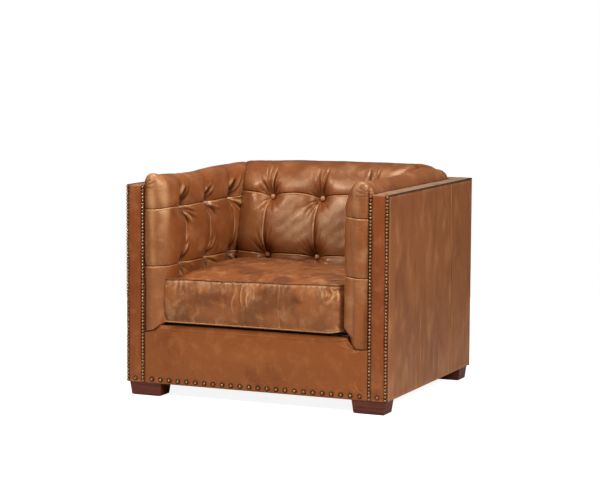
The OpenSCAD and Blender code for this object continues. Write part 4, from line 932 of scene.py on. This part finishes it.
def cushion():
    """The loose boxed cushion: seams held, panels swollen as cloth, then seams and creases worked in."""
    lattice, faces = block(112, 76, 28)
    points = cushion_shape(lattice)
    w = lattice[:, 2]
    on_rim = np.abs(lattice[:, :2] - 0.5).max(axis=1) > 0.4999
    seams = [on_rim & (w > 0.999), on_rim & (w < 0.001)]
    pins = np.where(seams[0] | seams[1], 1.0, np.where(w < 0.001, 0.97, 0.0))
    rough = mesh_piece("cushion_rough", points, faces)
    points = swell(rough, pins, pressure=5.0, slack=-0.025, cap=0.012)
    bpy.data.objects.remove(rough)
    piece = subdivided("seat_cushion_cover", points, faces)
    piece.data.shade_smooth()
    co = np.array([v.co for v in piece.data.vertices])
    normal = np.array([v.normal for v in piece.data.vertices])
    x, y, z = co.T
    front = smooth(-normal[:, 1], 0.5, 0.8) * smooth(-y, 0.2, 0.3)
    top = smooth(normal[:, 2], 0.6, 0.9)
    side = smooth(1 - np.abs(normal[:, 2]), 0.35, 0.8)

    def patch(at_x, wide, at_z, high):
        return hump(x - at_x, wide) * hump(z - at_z, high)

    height, wear_shade_highlight = np.zeros(len(co)), np.zeros(len(co))
    for at, high, low, bow, deep in np.array(BAND_STROKES) / 1000:
        t = (high - z) / (high - low)
        share = smooth(t, -0.1, 0.15) * fade(t, 0.7, 1.1) * front
        d = x - at - bow * arch(t)
        height += share * deep * (hump(d, 0.0032) - 0.8 * hump(d + 0.0065, 0.004))
        wear_shade_highlight += share * min(1.0, deep / 0.0016) * (0.75 * hump(d, 0.0028) - 0.3 * hump(d + 0.006, 0.003))
    # A joining seam in the front band, a dark line of painted shade with a pale lip of painted highlight, then its
    # stains and its rubbed places, and painted shade towards both ends
    join = x - 0.084
    height += front * (0.0009 * hump(join + 0.003, 0.0028) - 0.0014 * hump(join, 0.0014))
    wear_shade_highlight += front * (0.35 * hump(join + 0.003, 0.0025) - 0.35 * hump(join, 0.0013)
                     + 0.45 * patch(0.255, 0.035, 0.362, 0.028) * (0.6 + waves(x, z, 0.012, 65))
                     + 0.22 * patch(0.27, 0.04, 0.29, 0.05)
                     - 0.4 * smooth(-x, 0.296, 0.34) - 0.3 * smooth(x, 0.286, 0.3)
                     - 0.4 * patch(0.15, 0.02, 0.35, 0.034) * (1 + waves(x, z, 0.03, 67))
                     - 0.3 * (patch(-0.235, 0.03, 0.305, 0.03) + patch(-0.13, 0.03, 0.34, 0.03))
                     + 0.25 * (patch(-0.29, 0.014, 0.355, 0.04) + patch(-0.04, 0.045, 0.355, 0.04)))
    height += top * (0.0016 * waves(x, y, 0.075, 61) + 0.0006 * waves(x, y, 0.025, 62))
    height += front * 0.001 * waves(x, z, 0.045, 63)
    # Fine streaks all over the top
    rng = np.random.default_rng(9)
    for _ in range(90):
        at = rng.uniform(-0.27, 0.28), rng.uniform(-0.37, -0.04)
        long, deep = rng.uniform(0.02, 0.09), rng.uniform(0.4, 1.0)
        h, c = crease(x, y, at, rng.normal(66, 12), long, 0.0005 * deep, 0.0038, rng.uniform(-0.3, 0.3), lead=0.0)
        height += h * top
        pale = rng.random() < 0.7
        wear_shade_highlight += np.where(c > 0, 0.95, 0.15) * deep * c * top if pale else -0.35 * deep * np.abs(c) * top
    # Painted shade over the whole top, deeper towards the rear on the right
    wear_shade_highlight -= top * (0.27 + 0.3 * hump(y - 0.02, 0.11) * smooth(x, -0.2, 0.2))
    # Both seams: a fine dark line of painted shade, with a painted highlight on the lip of the band beside it
    near_top, near_low = (distances(co, points[seam]) for seam in seams)
    wear_shade_highlight += side * (0.5 * hump(near_top - 0.0065, 0.0026) + 0.35 * hump(near_low - 0.008, 0.003))
    wear_shade_highlight += front * 0.3 * waves(x * 3.0, z * 0.5, 0.04, 69) * fade(near_top, 0.02, 0.06)
    wear_shade_highlight -= 0.75 * hump(near_top, 0.0022) + 0.6 * hump(near_low, 0.0025)
    co += normal * height[:, None]
    # The zip lies in a shallow channel along the rear side
    tape_low, tape_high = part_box("cushion_zip")
    off_x = np.maximum(0, np.abs(x) - tape_high.x)
    off_z = np.maximum(0, np.maximum(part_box("zip_slider")[0].z - z, z - tape_high.z))
    bed = tape_low.y + 0.0004 + 0.008 * smooth(np.hypot(off_x, off_z), 0.003, 0.032)
    co[:, 1] = np.where(normal[:, 1] > 0.3, np.minimum(co[:, 1], bed), co[:, 1])
    piece.data.vertices.foreach_set("co", co.astype(np.float32).ravel())
    mark(piece, "wear_shade_highlight", np.clip(wear_shade_highlight, -1, 1))
    piece.data.update()
    settle(piece, "cushion", "cushion_cover", body="seat_cushion")


def cushion_piping(sides=8):
    """Piping along the cushion's top and bottom seams, as one piece of two closed tubes."""
    turn = np.linspace(0, 4, 400, endpoint=False)
    around = [np.interp((turn + shift) % 4, (0, 1, 2, 3, 4), (0, 1, 1, 0, 0)) for shift in (0, 3)]
    points, faces, ring_shading = [], [], []
    # The top cord is darkened with painted shade, the bottom cord lightened with a painted highlight
    for level, radius, out_by, lift, wear_shade_highlight in ((1.0, 0.0016, 0.0006, -0.0004, -0.85),
                                              (0.0, 0.0028, 0.0016, 0.0012, 0.25)):
        path = cushion_shape(np.stack([*around, np.full(400, level)], axis=1))
        away = (path - path.mean(axis=0)) * (1, 1, 0)
        path = path + away / np.linalg.norm(away, axis=1, keepdims=True) * out_by
        path[:, 2] += lift
        ahead = np.roll(path, -1, axis=0) - np.roll(path, 1, axis=0)
        ahead /= np.linalg.norm(ahead, axis=1, keepdims=True)
        out = np.cross(ahead, (0, 0, 1))
        out /= np.linalg.norm(out, axis=1, keepdims=True)
        angle = np.linspace(0, math.tau, sides, endpoint=False)[None, :, None]
        tube = path[:, None] + radius * (np.cos(angle) * out[:, None] + np.sin(angle) * np.cross(out, ahead)[:, None])
        index = np.arange(400 * sides).reshape(400, sides) + len(points) * 400 * sides
        on = np.roll(index, -1, axis=0)
        quads = np.stack([index, on, np.roll(on, -1, axis=1), np.roll(index, -1, axis=1)], axis=2)
        faces += quads.reshape(-1, 4).tolist()
        points.append(tube.reshape(-1, 3))
        ring_shading.append(np.full(400 * sides, wear_shade_highlight))
    piece = mesh_piece("seat_cushion_piping", np.vstack(points), faces, np.concatenate(ring_shading))
    settle(piece, "cord", "cushion_piping", body="seat_cushion")


def cushion_core():
    """The foam block inside the cushion's cover."""
    lattice, faces = block(24, 16, 6)
    middle = np.array([0.0, (CUSHION_HIGH.y + CUSHION_LOW.y) / 2, CUSHION_LOW.z + 0.003])
    points = middle + (cushion_shape(lattice) - middle) * (0.955, 0.945, 0.93)
    piece = mesh_piece("seat_cushion_foam", points, faces)
    settle(piece, "foam", "cushion_core", body="seat_cushion")


def deck():
    """The cloth-covered deck under the cushion: flat where the cushion lies, turned down round the edges."""
    low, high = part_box("deck_pad")
    cloth_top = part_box("deck_cloth")[1].z
    x, y = crossed(*(lines(low[k], high[k], 0.01, [low[k], high[k]], 0.0015, 0.008) for k in (0, 1)))
    gap = np.minimum(np.minimum(x - low.x, high.x - x), np.minimum(y - low.y, high.y - y))
    drop = 0.0006 + 0.0006 * (1 + waves(x, y, 0.06, 91)) + 0.01 * rolled(gap, 0.01)
    pieces = []
    for name, top, base in (("deck_cloth_cover", cloth_top, cloth_top - 0.012),
                            ("deck_felt", cloth_top - 0.0025, low.z)):
        grid = np.stack([x, y, top - drop], axis=2)
        pieces.append(shell(name, grid, (0, (low.y + high.y) / 2, base), 0 * x, backing=(2, base)))
    settle(pieces[0], "lining", "deck_cloth")
    settle(pieces[1], "felt", "deck_pad")


# ------------ build
NAILS = nail_centres()
for side, hand in ((-1, "left"), (1, "right")):
    arm_pad(side)
    panel(hand + "_facing_cover", "facing", hand + "_arm_facing", 1, 0, centres=NAILS, bulge=0.0026, edge=0.005,
          seed=31 + side, painted_light_and_streaks=0.22)
    panel(hand + "_outside_cover", "outside", hand + "_outside_arm", 0, 1, seed=51 + side, painted_light_and_streaks=0.38,
          seams=[(0.188, 0.006, 1.0, 0.9), (-0.097, 0.0, 0.7, -0.3)])
    top_strip(hand + "_top_strip", hand + "_strip_cover", 1)
back_pad()
panel("rear_cover", "outside", "outside_back", 1, 0, seed=71, seams=[(0.0, 0.003, 0.8, 1.5)])
top_strip("back_top_strip", "back_strip_cover", 0)
front_border(NAILS)
cushion()
cushion_piping()
cushion_core()
deck()

# The CAD nodes that stay, by words in their names
CAD_LOOKS = {"maple": "rail post corner_blocks", "wire": "spring", "jute": "webbing", "button": "buttons",
             "piping": "outer_piping inner_piping", "brass": "nails zip_slider", "tape": "cushion_zip",
             "lining": "dust_cover", "mahogany": "_foot", "zinc": "foot_bolts foot_nuts", "felt": "foot_felts"}
for name, node in nodes.items():
    for look, words in CAD_LOOKS.items():
        if any(word in name for word in words.split()):
            paint_piece(node, look)
            if look == "mahogany":
                soft_edge = node.modifiers.new("soft_edge", "BEVEL")
                soft_edge.width, soft_edge.segments = 0.001, 2
                soft_edge.limit_method, soft_edge.angle_limit = "ANGLE", math.radians(25)


# ------------ camera, light and floor
def camera():
    """The viewpoint: to the right of the chair's front and a little above the seat."""
    azimuth, elevation, tilt = math.radians(23.474), math.radians(6.063), math.radians(0.332)
    level = math.cos(elevation)
    back = Vector((math.sin(azimuth) * level, -math.cos(azimuth) * level, math.sin(elevation)))
    right = Vector((math.cos(azimuth), math.sin(azimuth), 0))
    up = back.cross(right)
    data = bpy.data.cameras.new("camera")
    data.sensor_width, data.lens, data.clip_end = 36, 125.56, 60
    eye = placed("camera", data)
    cos, sin = math.cos(tilt), math.sin(tilt)
    turned = Matrix((right * cos + up * sin, up * cos - right * sin, back))
    eye.matrix_world = Matrix.Translation((2.7767, -6.4227, 1.2447)) @ turned.transposed().to_4x4()
    bpy.context.scene.camera = eye


def studio():
    """Three warm soft lamps (place, aim, size, watts), and a white surround that lights the chair only a little."""
    for name, place, aim, size, watts in (("key", (-1.9, -3.1, 2.7), (0, 0, 0.4), (0.9, 1.2), 76),
                                          ("side", (3.1, -2.2, 2.1), (0, -0.1, 0.5), (0.7, 1.2), 104),
                                          ("overhead", (0.1, -0.6, 3.2), (0, 0.1, 0.4), (1.2, 1.2), 68)):
        data = bpy.data.lights.new(name, "AREA")
        data.shape, data.energy, data.color = "RECTANGLE", watts, (1.0, 0.965, 0.91)
        data.size, data.size_y = size
        lamp = placed(name, data)
        lamp.location = place
        lamp.rotation_euler = (Vector(aim) - Vector(place)).to_track_quat("-Z", "Y").to_euler()
    world = bpy.data.worlds.new("studio")
    world.use_nodes = True
    tree = world.node_tree
    rays = tree.nodes.new("ShaderNodeLightPath").outputs
    strength = 0.2
    for ray, share in (("Is Camera Ray", 0.8), ("Is Glossy Ray", -0.08)):
        strength = add_node(tree, "Math", 0, {0: rays[ray], 1: share, 2: strength}, operation="MULTIPLY_ADD")
    background = tree.nodes["Background"].inputs
    put(tree, strength, background["Strength"])
    background["Color"].default_value = (1, 1, 1, 1)
    bpy.context.scene.world = world


def floor():
    """A pale round floor that keeps the chair's shadow, and fades into the white surroundings away from it."""
    rim_points = [(2.4 * math.cos(a), 2.4 * math.sin(a), 0) for a in np.linspace(0, math.tau, 96, endpoint=False)]
    piece = mesh_piece("floor", rim_points, [tuple(range(96))])
    paint = Paint("floor_white", roughness=0.9)
    tone = paint.ramp(paint.noise(3.0, 2.0), 0.3, 0.7)
    radius = paint.node("VectorMath", "Value", {0: paint.coords}, operation="LENGTH")
    seen = paint.node("LightPath", "Is Camera Ray", {})
    glow = paint.maths("MULTIPLY", paint.ramp(radius, 0.55, 1.5, FLOOR_LIFT), seen)
    paint.shader["Emission Color"].default_value = (1, 1, 1, 1)
    put(paint.tree, glow, paint.shader["Emission Strength"])
    piece.data.materials.append(paint.finish(paint.mix(tone, srgb(0xC4C2C0), srgb(0xC0BEBC))))


camera()
studio()
floor()
bpy.context.scene.view_settings.view_transform = "Standard"
